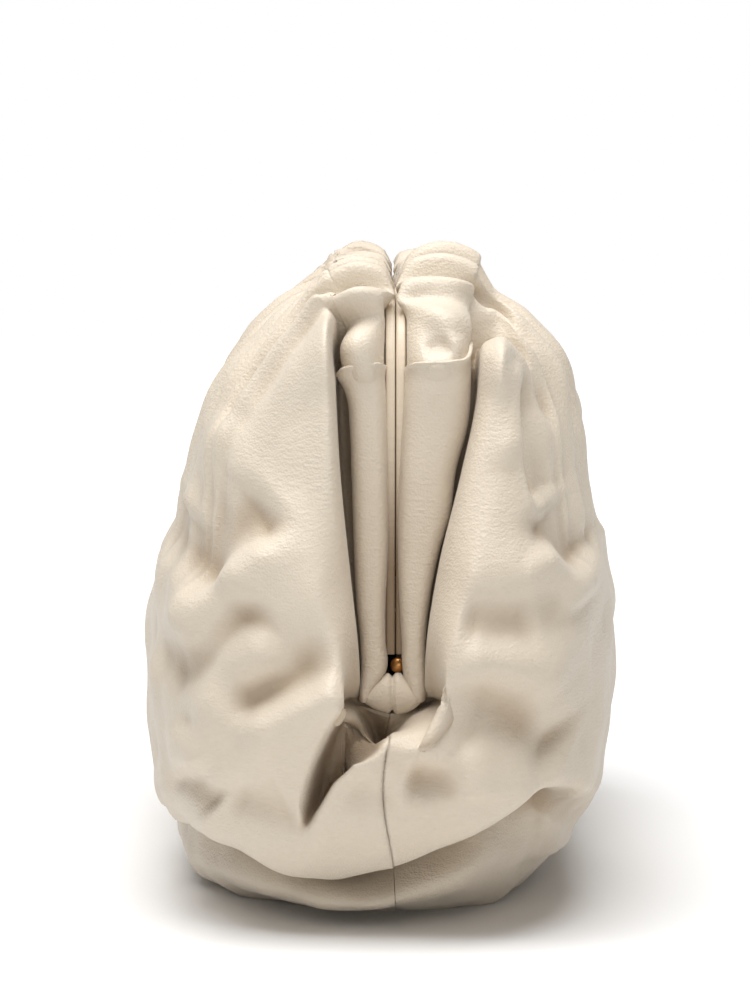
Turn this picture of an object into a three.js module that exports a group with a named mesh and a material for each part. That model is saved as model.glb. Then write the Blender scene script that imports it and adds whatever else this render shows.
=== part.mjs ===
// A soft leather pouch bag: two panels gathered over a hinged frame and standing on a folded base.
// Millimetres, +Z up. The bag's length runs along Y, and its mouth opens towards +Z in a plane across X.
// Each panel is one sheet of leather, worked out as a grid: along the frame's path, and from the frame
// over the roll, down the lobe and under the base to the bottom seam.
import * as THREE from 'three';

// Driving sizes of the bag
const HEIGHT = 227;
const HALF_LENGTH = 190;
const LEFT_REACH = 87;
const RIGHT_REACH = 78;

// Frame: two leather-covered bars, bent to an upside-down U, that meet at the mouth
const FRAME_HALF_LENGTH = 153;
const FRAME_TOP = 209;
const FRAME_FOOT = 78;
const FRAME_CORNER = 24;
const BAR_THICK = 3.15;
const BAR_WIDE = 14;
const BAR_BEVEL = 1;

// Leather and the gaps between pieces
const WALL = 1.5;
const PIECE_GAP = 0.3;
const SEAM_GAP = 0.3;
const COVER_GAP = 1;

// Gathers and folds: the size of one roll, the distance from one gather to the next, a fold's size, and
// how far from the middle towards the near end folds start and reach their full height
const ROLL = 25;
const GATHER_PITCH = 25;
const GATHER_HIGH = 4;
const FOLD = 10;
const FOLD_START = 30;
const FOLD_BLEND = 50;
const CREASE_DEEP = 13;
const NOTCH_DEEP = 30;
const NOTCH_WIDE = 15;

// Leg covers end in a hem at this share of the leg
const HEM = 0.97;

// Below a leg the panel runs on for TOE along the path, and closes on the seam in this share of the leg
const TOE = 12;
const OPENING = 0.075;

// Hinge: a brass pin through the feet of both bars, and the leather cap under it
const PIN_HEIGHT = 88.5;
const PIN_R = 2.4;
const PIN_HEAD_R = 3.2;
const PIN_HEAD_EDGE = 1;
const PIN_LONG = 11;
const CAP_WIDE = 13;
const CAP_HIGH = 11;
const CAP_DEEP = 12;

// Grid of a panel: stations along the frame's path
const STATIONS = 60;

// The plan is a superellipse, fuller than an ellipse
const FULLNESS = 0.62;

const LEATHER = { color: 0xcbbda9, roughness: 0.55, metalness: 0 };
const FRAME_LEATHER = { color: 0xd0bfa3, roughness: 0.5, metalness: 0 };
const BRASS = { color: 0xb5843f, roughness: 0.3, metalness: 1 };

// Outline of the lobes, from the base up. Shares: height, left reach, right reach, half length.
const OUTLINE = [
  { height: 0, left: 0.8, right: 0.78, length: 0.66 },
  { height: 0.02, left: 0.865, right: 0.83, length: 0.72 },
  { height: 0.055, left: 0.9, right: 0.875, length: 0.8 },
  { height: 0.12, left: 0.905, right: 0.9, length: 0.885 },
  { height: 0.185, left: 0.94, right: 0.945, length: 0.94 },
  { height: 0.25, left: 0.975, right: 0.97, length: 0.975 },
  { height: 0.31, left: 1, right: 0.98, length: 0.99 },
  { height: 0.38, left: 1, right: 0.995, length: 1 },
  { height: 0.445, left: 0.99, right: 1, length: 1 },
  { height: 0.51, left: 0.955, right: 0.975, length: 0.995 },
  { height: 0.575, left: 0.91, right: 0.93, length: 0.98 },
  { height: 0.64, left: 0.83, right: 0.87, length: 0.96 },
  { height: 0.705, left: 0.73, right: 0.8, length: 0.935 },
  { height: 0.77, left: 0.63, right: 0.73, length: 0.905 },
  { height: 0.835, left: 0.51, right: 0.64, length: 0.87 },
  { height: 0.9, left: 0.37, right: 0.47, length: 0.835 },
  { height: 0.94, left: 0.27, right: 0.34, length: 0.81 },
  { height: 1, left: 0.16, right: 0.18, length: 0.78 },
];

// How far the ends draw in at the seam. Shares: height, notch depth.
const NOTCH = [
  { height: 0, draw: 0.13 },
  { height: 0.08, draw: 0.33 },
  { height: 0.17, draw: 0.27 },
  { height: 0.24, draw: 0.3 },
  { height: 0.285, draw: 0.87 },
  { height: 0.34, draw: 1.13 },
  { height: 0.42, draw: 1.1 },
  { height: 0.6, draw: 0.87 },
  { height: 1, draw: 0.67 },
];

// The roll over the frame and the flap beside it, from the foot of a leg up. The leg column is a share
// of the leg, the others are shares of ROLL: inner edge, outer edge and rise of the roll, then how far
// out and how deep the valley is, then how far out and how high the flap's crest is.
const ROLLS = {
  left: [
    { leg: -0.03, inner: 0.3, outer: 0.47, rise: 0.06, valley: 0.53, deep: 0.3, crest: 0.6, high: 0.2 },
    { leg: 0.02, inner: 0.27, outer: 0.48, rise: 0.12, valley: 0.55, deep: 0.36, crest: 0.62, high: 0.28 },
    { leg: 0.13, inner: 0.16, outer: 0.5, rise: 0.18, valley: 0.58, deep: 0.42, crest: 0.66, high: 0.4 },
    { leg: 0.4, inner: 0.14, outer: 0.58, rise: 0.2, valley: 0.68, deep: 0.48, crest: 0.76, high: 0.52 },
    { leg: 0.7, inner: 0.14, outer: 0.72, rise: 0.22, valley: 0.8, deep: 0.52, crest: 0.84, high: 0.56 },
    { leg: 0.92, inner: 0.14, outer: 0.78, rise: 0.28, valley: 0.87, deep: 0.48, crest: 0.92, high: 0.36 },
    { leg: 1.15, inner: 0.14, outer: 0.8, rise: 0.36, valley: 0.92, deep: 0.3, crest: 1.04, high: 0.04 },
    { leg: 1.45, inner: 0.14, outer: 0.88, rise: 0.44, valley: 0.98, deep: 0.24, crest: 1.16, high: -0.12 },
  ],
  right: [
    { leg: -0.03, inner: 0.3, outer: 0.47, rise: 0.06, valley: 0.53, deep: 0.3, crest: 0.6, high: 0.2 },
    { leg: 0.02, inner: 0.27, outer: 0.48, rise: 0.12, valley: 0.55, deep: 0.36, crest: 0.62, high: 0.28 },
    { leg: 0.13, inner: 0.16, outer: 0.5, rise: 0.18, valley: 0.58, deep: 0.42, crest: 0.64, high: 0.36 },
    { leg: 0.4, inner: 0.14, outer: 0.7, rise: 0.2, valley: 0.8, deep: 0.48, crest: 0.95, high: 0.2 },
    { leg: 0.7, inner: 0.14, outer: 0.9, rise: 0.22, valley: 1.02, deep: 0.52, crest: 1.24, high: -0.04 },
    { leg: 0.92, inner: 0.14, outer: 0.92, rise: 0.28, valley: 1.04, deep: 0.5, crest: 1.32, high: -0.12 },
    { leg: 1.15, inner: 0.14, outer: 0.92, rise: 0.36, valley: 1.04, deep: 0.34, crest: 1.28, high: -0.16 },
    { leg: 1.45, inner: 0.14, outer: 0.96, rise: 0.44, valley: 1.06, deep: 0.26, crest: 1.32, high: -0.16 },
  ],
};

// The lobe's lower lip, which hangs over the base. Shares: reach, height of the lip, depth of the crease.
const LIPS = {
  left: [
    { reach: 0, height: 0.093, deep: 1 },
    { reach: 0.15, height: 0.077, deep: 1 },
    { reach: 0.3, height: 0.073, deep: 0.9 },
    { reach: 0.5, height: 0.079, deep: 0.8 },
    { reach: 0.7, height: 0.086, deep: 0.8 },
    { reach: 0.85, height: 0.075, deep: 0.6 },
    { reach: 1, height: 0.057, deep: 0.25 },
  ],
  right: [
    { reach: 0, height: 0.093, deep: 1 },
    { reach: 0.15, height: 0.11, deep: 1 },
    { reach: 0.38, height: 0.139, deep: 1 },
    { reach: 0.54, height: 0.167, deep: 1 },
    { reach: 0.66, height: 0.207, deep: 0.8 },
    { reach: 0.78, height: 0.233, deep: 0.55 },
    { reach: 1, height: 0.25, deep: 0 },
  ],
};

// Folds of the near end, as seen from that end. A path's points are shares of the reach and the height.
// The fold's height and its widths to the left and right of the path are shares of FOLD.
const FOLDS = [
  { name: 'left broad valley', high: -0.4, left: 1.2, right: 1.2,
    path: [[-0.52, 0.64], [-0.6, 0.58], [-0.8, 0.52], [-0.9, 0.47]] },
  { name: 'left main ridge', high: 0.5, left: 0.9, right: 1.2,
    path: [[-0.33, 0.66], [-0.48, 0.555], [-0.73, 0.49], [-0.85, 0.42]] },
  { name: 'left valley', high: -0.4, left: 0.8, right: 0.8,
    path: [[-0.47, 0.525], [-0.67, 0.445], [-0.81, 0.37]] },
  { name: 'left second ridge', high: 0.4, left: 0.9, right: 0.9,
    path: [[-0.47, 0.465], [-0.66, 0.395], [-0.81, 0.33]] },
  { name: 'flap crease', high: -0.5, left: 0.6, right: 0.7,
    path: [[-0.23, 0.395], [-0.43, 0.365], [-0.6, 0.335], [-0.69, 0.31]] },
  { name: 'flap ridge', high: 0.4, left: 0.7, right: 0.8,
    path: [[-0.19, 0.385], [-0.31, 0.36], [-0.46, 0.32], [-0.6, 0.285]] },
  { name: 'lobe edge', high: 0.5, left: 0.5, right: 1.6,
    path: [[-0.17, 0.43], [-0.17, 0.395], [-0.24, 0.31], [-0.32, 0.18], [-0.35, 0.12]] },
  { name: 'left facet', high: -0.35, left: 0.6, right: 0.6,
    path: [[-0.49, 0.84], [-0.59, 0.77], [-0.75, 0.64], [-0.81, 0.605]] },
  { name: 'hem valley', high: -0.4, left: 0.8, right: 0.8,
    path: [[-0.74, 0.15], [-0.6, 0.145], [-0.41, 0.15]] },
  { name: 'left pinch', high: -0.5, left: 0.6, right: 0.6,
    path: [[-0.94, 0.18], [-0.87, 0.185], [-0.76, 0.215]] },
  { name: 'right column', high: 0.4, left: 0.8, right: 0.8,
    path: [[0.37, 0.865], [0.39, 0.81], [0.4, 0.75], [0.39, 0.69]] },
  { name: 'right crease', high: -0.5, left: 0.6, right: 0.9,
    path: [[0.54, 0.87], [0.56, 0.79], [0.57, 0.71], [0.66, 0.58], [0.77, 0.47]] },
  { name: 'right facet', high: 0.35, left: 0.8, right: 0.8,
    path: [[0.6, 0.82], [0.67, 0.73], [0.72, 0.635], [0.8, 0.545]] },
  { name: 'right dimple', high: -0.5, left: 0.8, right: 0.8,
    path: [[0.24, 0.385], [0.33, 0.36], [0.47, 0.345], [0.64, 0.335]] },
  { name: 'right ridge', high: 0.3, left: 0.9, right: 0.9,
    path: [[0.32, 0.305], [0.49, 0.285], [0.66, 0.29], [0.79, 0.315]] },
  { name: 'right pinch', high: 0.5, left: 0.6, right: 0.6,
    path: [[0.15, 0.34], [0.19, 0.31], [0.24, 0.28], [0.28, 0.265]] },
  { name: 'base ridge', high: 0.4, left: 0.7, right: 0.7,
    path: [[0.58, 0.15], [0.64, 0.115], [0.69, 0.08]] },
];

// Rows of a panel's grid, as places on the profile's points, from the frame to the bottom seam
const ROWS = [0, 1, 2, 3, 4, 5, 6, 7.2, 8, 9, 10, 11, 12, 13, 14, 15, 16, 17, 18, 20];
const CREST_ROW = 8;
const VALLEY_ROW = 6;

const LEG = FRAME_TOP - FRAME_CORNER - FRAME_FOOT;
const ARC = (Math.PI / 2) * FRAME_CORNER;
const RAIL = 2 * (FRAME_HALF_LENGTH - FRAME_CORNER);
const PATH = 2 * (TOE + LEG + ARC) + RAIL;
const BAR_FACE = SEAM_GAP / 2 + BAR_THICK + PIECE_GAP;

const clamp = THREE.MathUtils.clamp;
const lerp = THREE.MathUtils.lerp;
const ease = (value) => THREE.MathUtils.smoothstep(value, 0, 1);
const signOf = { left: -1, right: 1 };
const reachOf = { left: LEFT_REACH, right: RIGHT_REACH };

// A column of a table read at a place between its rows, on a smooth curve through them
function read(table, at, column, place) {
  const last = table.length - 1;
  const slope = (k) => {
    const a = table[Math.max(k - 1, 0)];
    const b = table[Math.min(k + 1, last)];
    return (b[column] - a[column]) / (b[at] - a[at]);
  };
  const where = clamp(place, table[0][at], table[last][at]);
  let k = 0;
  while (k < last - 1 && table[k + 1][at] < where) k += 1;
  const step = table[k + 1][at] - table[k][at];
  const t = (where - table[k][at]) / step;
  const low = table[k][column] * (1 + 2 * t) * (1 - t) ** 2 + slope(k) * step * t * (1 - t) ** 2;
  const high = table[k + 1][column] * t * t * (3 - 2 * t) + slope(k + 1) * step * t * t * (t - 1);
  return low + high;
}

// A point of the plain lobe at an angle from the near seam (0) round to the far seam (pi), at a height
function lobePoint(side, angle, z) {
  const share = z / HEIGHT;
  const wide = reachOf[side] * read(OUTLINE, 'height', side, share);
  const long = HALF_LENGTH * read(OUTLINE, 'height', 'length', share);
  const x = wide * Math.abs(Math.sin(angle)) ** FULLNESS;
  const end = Math.sign(Math.cos(angle));
  const draw = NOTCH_DEEP * read(NOTCH, 'height', 'draw', share) * Math.exp(-((x / NOTCH_WIDE) ** 2));
  const y = -end * (long * Math.abs(Math.cos(angle)) ** FULLNESS - draw);
  return new THREE.Vector3(signOf[side] * x, y, z);
}

// The frame's path: a place on it and the way out of the frame there, in the plane of the mouth
function framePlace(distance) {
  const far = distance > PATH / 2;
  const fromToe = (far ? PATH - distance : distance) - TOE;
  const turn = clamp((fromToe - LEG) / FRAME_CORNER, 0, Math.PI / 2);
  const toe = ease(-fromToe / TOE);
  const run = Math.max(fromToe - LEG - ARC, 0);
  const y = -FRAME_HALF_LENGTH + FRAME_CORNER * (1 - Math.cos(turn)) + run + toe * TOE / 2;
  const z = FRAME_FOOT + clamp(fromToe, 0, LEG) + FRAME_CORNER * Math.sin(turn) - toe * TOE / 2;
  const mirror = far ? -1 : 1;
  return {
    y: mirror * y,
    z,
    outY: -mirror * Math.cos(turn),
    outZ: Math.sin(turn),
    leg: fromToe / LEG,
    fromLeg: distance - TOE - LEG,
  };
}

// The angle on the lobe that belongs to a distance on the frame's path: even steps round the lobe
const END_SHARE = 0.205;
const TURNS = 720;
const turnLengths = [0];
for (let k = 1; k <= TURNS; k += 1) {
  const a = lobePoint('left', (Math.PI * (k - 1)) / TURNS, 0.4 * HEIGHT);
  const b = lobePoint('left', (Math.PI * k) / TURNS, 0.4 * HEIGHT);
  turnLengths.push(turnLengths[k - 1] + a.distanceTo(b));
}
function lobeAngle(distance) {
  const near = Math.min(distance, PATH - distance);
  const end = TOE + LEG + ARC;
  const onEnd = END_SHARE * (near / end) ** 0.95;
  const onSide = END_SHARE + ((0.5 - END_SHARE) * (near - end)) / (RAIL / 2);
  const length = (near < end ? onEnd : onSide) * turnLengths[TURNS];
  let k = 1;
  while (k < TURNS && turnLengths[k] < length) k += 1;
  const t = (length - turnLengths[k - 1]) / (turnLengths[k] - turnLengths[k - 1]);
  const angle = (Math.PI * (k - 1 + t)) / TURNS;
  return distance > PATH / 2 ? Math.PI - angle : angle;
}

// The angle on the lobe that faces a crest, seen from above the middle of the bag's near or far half
function crestAngle(side, crest) {
  const middle = clamp(crest.y, -0.72 * FRAME_HALF_LENGTH, 0.72 * FRAME_HALF_LENGTH);
  const wanted = Math.atan2(Math.abs(crest.x), -(crest.y - middle));
  let best = 0;
  let closest = Infinity;
  for (let k = 0; k <= 360; k += 1) {
    const angle = (Math.PI * k) / 360;
    const p = lobePoint(side, angle, Math.min(crest.z, 0.98 * HEIGHT));
    const off = Math.abs(Math.atan2(Math.abs(p.x), -(p.y - middle)) - wanted);
    if (off < closest) {
      closest = off;
      best = angle;
    }
  }
  return best;
}

// Gathers along the top bar: how high the leather stands there, and how far it leans along the bar
function gather(side, place) {
  const sign = signOf[side];
  const from = place.fromLeg;
  const left = PATH - 2 * (TOE + LEG) - from;
  const fade = ease(from / GATHER_PITCH) * ease(left / GATHER_PITCH);
  const slow = sign + from / (1.64 * GATHER_PITCH);
  const quick = 2 * sign + from / (0.68 * GATHER_PITCH);
  const turn = from / GATHER_PITCH + 0.28 * Math.sin(slow) + 0.18 * Math.sin(quick);
  const size = fade * (0.8 + 0.3 * Math.sin(1.3 * sign + from / (1.16 * GATHER_PITCH)));
  const peak = 2 * Math.abs(Math.sin(Math.PI * turn)) ** 0.8 - 1;
  return {
    high: size * (0.35 * Math.sin(2 * Math.PI * turn) + 0.65 * peak),
    lean: size * Math.cos(2 * Math.PI * turn),
  };
}

// The roll and flap at a place on the frame: sizes in millimetres
function rollSizes(side, leg) {
  const size = (column) => ROLL * read(ROLLS[side], 'leg', column, leg);
  return {
    inner: Math.max(size('inner'), BAR_FACE),
    outer: size('outer'),
    rise: size('rise'),
    valley: size('valley'),
    deep: size('deep'),
    crest: size('crest'),
    high: size('high'),
  };
}

// How far a panel has opened from the seam at a place on a leg: 0 on the seam, 1 beside the frame
const opening = (leg) => ease((leg + TOE / LEG) / OPENING);

// Points of a panel's profile at a distance on the frame's path: the roll over the bar (0 to 4), the
// valley (5, 6), the flap's crest (8), the lobe (9 to 12), the lip and crease (13 to 16) and the base
// (17 to 20)
function profile(side, distance) {
  const sign = signOf[side];
  const place = framePlace(distance);
  const { leg } = place;
  const roll = rollSizes(side, leg);
  const wave = gather(side, place);
  const open = opening(leg);
  const inset = (WALL + COVER_GAP) * ease((HEM + 0.16 - leg) / 0.08);
  const points = [];
  const add = (outward, up, share) => {
    const across = outward + 0.5 * share * wave.high * GATHER_HIGH;
    const above = up + share * wave.high * GATHER_HIGH;
    const onSeam = points.length - VALLEY_ROW;
    const n = lerp(SEAM_GAP / 2, across, open);
    const u = lerp(onSeam, above, open);
    const along = share * wave.lean * 0.6 * GATHER_HIGH;
    const y = place.y + place.outY * u + place.outZ * along;
    const z = place.z + place.outZ * u - place.outY * along;
    points.push(new THREE.Vector3(sign * n, y, z));
  };
  const inner = roll.inner + inset;
  const outer = roll.outer - inset;
  const rise = roll.rise - inset;
  add(inner, -0.65 * BAR_WIDE, 0);
  add(inner, 0, 0.5);
  add(lerp(inner, outer, 0.28), 0.92 * rise, 1);
  add(lerp(inner, outer, 0.68), rise, 1.1);
  add(outer, 0.25 * rise, 1);
  add(outer, -0.7 * roll.deep, 0.6);
  add((roll.outer + roll.valley) / 2, -roll.deep, 0.4);
  add(lerp(roll.valley, roll.crest, 0.65), lerp(-roll.deep, roll.high, 0.55), 0.9);
  add(roll.crest, roll.high, 1.2);
  const crest = points[CREST_ROW];
  const from = crestAngle(side, crest);
  const to = lobeAngle(distance);
  const away = new THREE.Vector3(sign * Math.sin(to), -Math.cos(to), 0);
  const LOBE = [
    { drop: 0.05, ease: 0.3, down: 0.14 },
    { drop: 0.15, ease: 0.62, down: 0.3 },
    { drop: 0.33, ease: 0.88, down: 0.48 },
    { drop: 0.54, ease: 1, down: 0.66 },
  ];
  for (const row of LOBE) {
    const p = lobePoint(side, lerp(from, to, row.ease), crest.z * (1 - row.drop));
    p.lerp(crest, 0.35 * Math.exp(-((row.down / 0.14) ** 2)));
    p.addScaledVector(away, wave.high * 0.9 * GATHER_HIGH * Math.max(1 - row.down / 0.75, 0) ** 1.2);
    points.push(p);
  }
  const reach = Math.sin(to) ** FULLNESS;
  const nearEnd = to < Math.PI / 2;
  const deep = read(LIPS[side], 'reach', 'deep', reach) * (nearEnd ? 1 : 0.55);
  const lipShare = read(LIPS[side], 'reach', 'height', reach);
  const lip = HEIGHT * (nearEnd ? lipShare : 0.8 * lipShare + 0.026);
  const HEM_ROWS = [
    { left: 0.3, out: 0.46, z: lip + 1.1 * CREASE_DEEP },
    { left: 0.18, out: 0.3, z: lip },
    { left: 0.1, out: -1, z: lip + 0.46 * CREASE_DEEP },
    { left: 0.04, out: -0.75, z: 0.55 * lip },
  ];
  for (const row of HEM_ROWS) {
    const z = lerp(row.left * crest.z, row.z, deep);
    const p = lobePoint(side, to, z);
    points.push(p.addScaledVector(away, row.out * deep * CREASE_DEEP));
  }
  const foot = lobePoint(side, to, 0).addScaledVector(away, -0.23 * deep * CREASE_DEEP);
  const seamEnd = 0.96 * lobePoint(side, 0, 0).y;
  const seamY = seamEnd * (1 - (2 * distance) / PATH);
  for (const [across, up] of [[1, WALL], [0.9, 0], [0.5, 0], [0, 0]]) {
    points.push(new THREE.Vector3(foot.x * across, lerp(seamY, foot.y, across), up));
  }
  return points;
}

// How far a fold of the near end moves a point of the panel, as a share of FOLD, along the panel's normal
const foldLines = FOLDS.map((fold) => {
  const points = fold.path.map(([x, z]) => {
    const reach = x < 0 ? LEFT_REACH : RIGHT_REACH;
    return new THREE.Vector3(x * reach, z * HEIGHT, 0);
  });
  return { ...fold, points: new THREE.CatmullRomCurve3(points).getPoints(24) };
});
function foldHeight(fold, x, z) {
  let closest = Infinity;
  let share = 0;
  let onLeft = false;
  for (let k = 0; k + 1 < fold.points.length; k += 1) {
    const a = fold.points[k];
    const dx = fold.points[k + 1].x - a.x;
    const dz = fold.points[k + 1].y - a.y;
    const t = clamp(((x - a.x) * dx + (z - a.y) * dz) / (dx * dx + dz * dz), 0, 1);
    const offX = x - a.x - t * dx;
    const offZ = z - a.y - t * dz;
    const off = Math.hypot(offX, offZ);
    if (off < closest) {
      closest = off;
      share = (k + t) / (fold.points.length - 1);
      onLeft = dx * offZ - dz * offX > 0;
    }
  }
  const wide = FOLD * (onLeft ? fold.left : fold.right);
  const ends = ease(share / 0.22 + 0.15) * ease((1 - share) / 0.22 + 0.15);
  return fold.high * Math.exp(-((closest / wide) ** 2)) * ends;
}

// Grid helpers: a grid is a list of stations, each a list of points
function gridNormals(grid) {
  return grid.map((station, i) => station.map((point, j) => {
    const before = grid[Math.max(i - 1, 0)][j];
    const after = grid[Math.min(i + 1, grid.length - 1)][j];
    const above = station[Math.max(j - 1, 0)];
    const below = station[Math.min(j + 1, station.length - 1)];
    const along = new THREE.Vector3().subVectors(after, before);
    const down = new THREE.Vector3().subVectors(below, above);
    return along.cross(down).normalize();
  }));
}

// A closed mesh between two grids of the same size: the outer face, the inner face and a strip round
// their edge. flip turns its faces round.
function shell(outer, inner, flip) {
  const rows = outer[0].length;
  const stations = outer.length;
  const layer = stations * rows;
  const points = [...outer.flat(), ...inner.flat()];
  const triangles = [];
  const quad = (a, b, c, d) => {
    const short = points[a].distanceToSquared(points[c]) < points[b].distanceToSquared(points[d]);
    const pair = short ? [[a, b, c], [a, c, d]] : [[a, b, d], [b, c, d]];
    for (const [p, q, r] of pair) triangles.push(...(flip ? [p, r, q] : [p, q, r]));
  };
  const at = (i, j) => i * rows + j;
  for (let i = 0; i + 1 < stations; i += 1) {
    for (let j = 0; j + 1 < rows; j += 1) {
      quad(at(i, j), at(i + 1, j), at(i + 1, j + 1), at(i, j + 1));
      quad(layer + at(i, j), layer + at(i, j + 1), layer + at(i + 1, j + 1), layer + at(i + 1, j));
    }
    quad(at(i, 0), layer + at(i, 0), layer + at(i + 1, 0), at(i + 1, 0));
    quad(at(i, rows - 1), at(i + 1, rows - 1), layer + at(i + 1, rows - 1), layer + at(i, rows - 1));
  }
  for (let j = 0; j + 1 < rows; j += 1) {
    quad(at(0, j), at(0, j + 1), layer + at(0, j + 1), layer + at(0, j));
    const i = stations - 1;
    quad(at(i, j), layer + at(i, j), layer + at(i, j + 1), at(i, j + 1));
  }
  return toGeometry(points, triangles);
}

function toGeometry(points, triangles) {
  const geometry = new THREE.BufferGeometry();
  geometry.setAttribute('position', new THREE.Float32BufferAttribute(points.flatMap((p) => p.toArray()), 3));
  geometry.setIndex(triangles);
  geometry.computeVertexNormals();
  return geometry;
}

// A closed solid swept through sections: rings of as many points each, with flat ends
function loft(sections, flip) {
  const count = sections[0].length;
  const points = sections.flat();
  const triangles = [];
  const add = (a, b, c) => triangles.push(...(flip ? [a, c, b] : [a, b, c]));
  for (let i = 0; i + 1 < sections.length; i += 1) {
    for (let j = 0; j < count; j += 1) {
      const next = (j + 1) % count;
      add(i * count + j, i * count + next, (i + 1) * count + next);
      add(i * count + j, (i + 1) * count + next, (i + 1) * count + j);
    }
  }
  const last = (sections.length - 1) * count;
  for (let j = 1; j + 1 < count; j += 1) {
    add(0, j + 1, j);
    add(last, last + j, last + j + 1);
  }
  return toGeometry(points, triangles);
}

function mesh(name, geometry, look) {
  const made = new THREE.Mesh(geometry, new THREE.MeshStandardMaterial(look));
  made.name = name;
  return made;
}

// Panels. Stations lie closer together at the near and far ends, where the folds are.
function stationPlaces() {
  const weight = (share) => 1 + 1.1 * ease((0.34 - share) / 0.14) + 0.5 * ease((share - 0.7) / 0.2);
  const STEPS = 2000;
  const sums = [0];
  for (let k = 1; k <= STEPS; k += 1) sums.push(sums[k - 1] + weight((k - 0.5) / STEPS));
  const places = [];
  let k = 0;
  for (let i = 0; i < STATIONS; i += 1) {
    const wanted = (sums[STEPS] * i) / (STATIONS - 1);
    while (k < STEPS && sums[k] < wanted) k += 1;
    places.push((PATH * k) / STEPS);
  }
  return places;
}

function panelGrid(side) {
  return stationPlaces().map((distance) => {
    const { leg } = framePlace(distance);
    const first = VALLEY_ROW * (1 - ease((leg - HEM + 0.35) / 0.25));
    const points = profile(side, distance);
    const curve = new THREE.CatmullRomCurve3(points, false, 'centripetal');
    const clear = lerp(SEAM_GAP / 2, BAR_FACE, opening(leg));
    return ROWS.map((row) => {
      const moved = row < CREST_ROW ? first + ((CREST_ROW - first) * row) / CREST_ROW : row;
      const point = curve.getPoint(moved / (points.length - 1));
      if (row < CREST_ROW) point.x = signOf[side] * Math.max(signOf[side] * point.x, clear);
      return point;
    });
  });
}

function panel(side) {
  const sign = signOf[side];
  const outer = panelGrid(side);
  const plain = gridNormals(outer);
  const LOBE_ROW = ROWS.indexOf(CREST_ROW);
  for (let i = 0; i < outer.length; i += 1) {
    for (let j = LOBE_ROW + 1; j < ROWS.length; j += 1) {
      const point = outer[i][j];
      const near = ease((-FOLD_START - point.y) / FOLD_BLEND);
      let high = 0;
      for (const fold of foldLines) {
        high += Math.sign(fold.path[0][0]) === sign ? foldHeight(fold, point.x, point.z) : 0;
      }
      point.addScaledVector(plain[i][j], -sign * high * near * FOLD);
    }
  }
  const normals = gridNormals(outer);
  const limit = (point, lowest) => {
    point.x = sign * Math.max(sign * point.x, SEAM_GAP / 2);
    point.z = Math.max(point.z, lowest);
    return point;
  };
  const inner = outer.map((station, i) => station.map((point, j) => {
    limit(point, 0);
    return limit(point.clone().addScaledVector(normals[i][j], sign * WALL), WALL);
  }));
  return mesh(`panel_${side}`, shell(outer, inner, side === 'right'), LEATHER);
}

// Frame bars: a rounded bar along the path, outer edge on the path, standing on the hinge pins
function frame(side) {
  const sign = signOf[side];
  const face = SEAM_GAP / 2;
  const back = face + BAR_THICK;
  const foot = -BAR_WIDE;
  const outline = [
    [face, -BAR_BEVEL],
    [face, foot + BAR_BEVEL],
    [face + BAR_BEVEL, foot],
    [back - BAR_BEVEL, foot],
    [back, foot + BAR_BEVEL],
    [back, -BAR_BEVEL],
    [back - BAR_BEVEL, 0],
    [face + BAR_BEVEL, 0],
  ];
  const start = TOE + PIN_HEIGHT + PIN_HEAD_R + PIECE_GAP - FRAME_FOOT;
  const corner = TOE + LEG;
  const TURN_STEPS = 6;
  const half = [start, lerp(start, corner, 0.5)];
  for (let k = 0; k <= TURN_STEPS; k += 1) half.push(corner + (ARC * k) / TURN_STEPS);
  half.push(lerp(corner + ARC, PATH / 2, 0.5));
  const places = [...half, PATH / 2, ...half.map((distance) => PATH - distance).reverse()];
  const sections = places.map((distance) => {
    const { y, z, outY, outZ } = framePlace(distance);
    return outline.map(([n, u]) => new THREE.Vector3(sign * n, y + outY * u, z + outZ * u));
  });
  return mesh(`frame_${side}`, loft(sections, side === 'right'), FRAME_LEATHER);
}

// Leg covers: an open sleeve of leather over each leg of the frame, from the hinge up to a hem
function legCover(side, end) {
  const sign = signOf[side];
  const COVER_STEPS = 10;
  const outer = [];
  const inner = [];
  for (let k = 0; k <= COVER_STEPS; k += 1) {
    const leg = (HEM * k) / COVER_STEPS;
    const roll = rollSizes(side, leg);
    const low = -0.5 * roll.deep * (1 - ease((leg - 0.4) / 0.15)) - PIECE_GAP;
    const path = [
      [roll.inner, -0.65 * BAR_WIDE],
      [roll.inner, 0],
      [lerp(roll.inner, roll.outer, 0.28), 0.92 * roll.rise],
      [lerp(roll.inner, roll.outer, 0.68), roll.rise],
      [roll.outer, 0.25 * roll.rise],
      [roll.outer, low],
    ];
    const place = framePlace(TOE + leg * LEG);
    const put = (n, u) => new THREE.Vector3(sign * n, end * (-place.y + u), place.z);
    outer.push(path.map(([n, u]) => put(n, u)));
    inner.push(path.map(([n, u], j) => {
      const before = path[Math.max(j - 1, 0)];
      const after = path[Math.min(j + 1, path.length - 1)];
      const along = new THREE.Vector2(after[0] - before[0], after[1] - before[1]).normalize();
      return put(n + along.y * WALL, u - along.x * WALL);
    }));
  }
  const name = `leg_cover_${side}_${end < 0 ? 'near' : 'far'}`;
  return mesh(name, shell(outer, inner, sign * end < 0), LEATHER);
}

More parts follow.
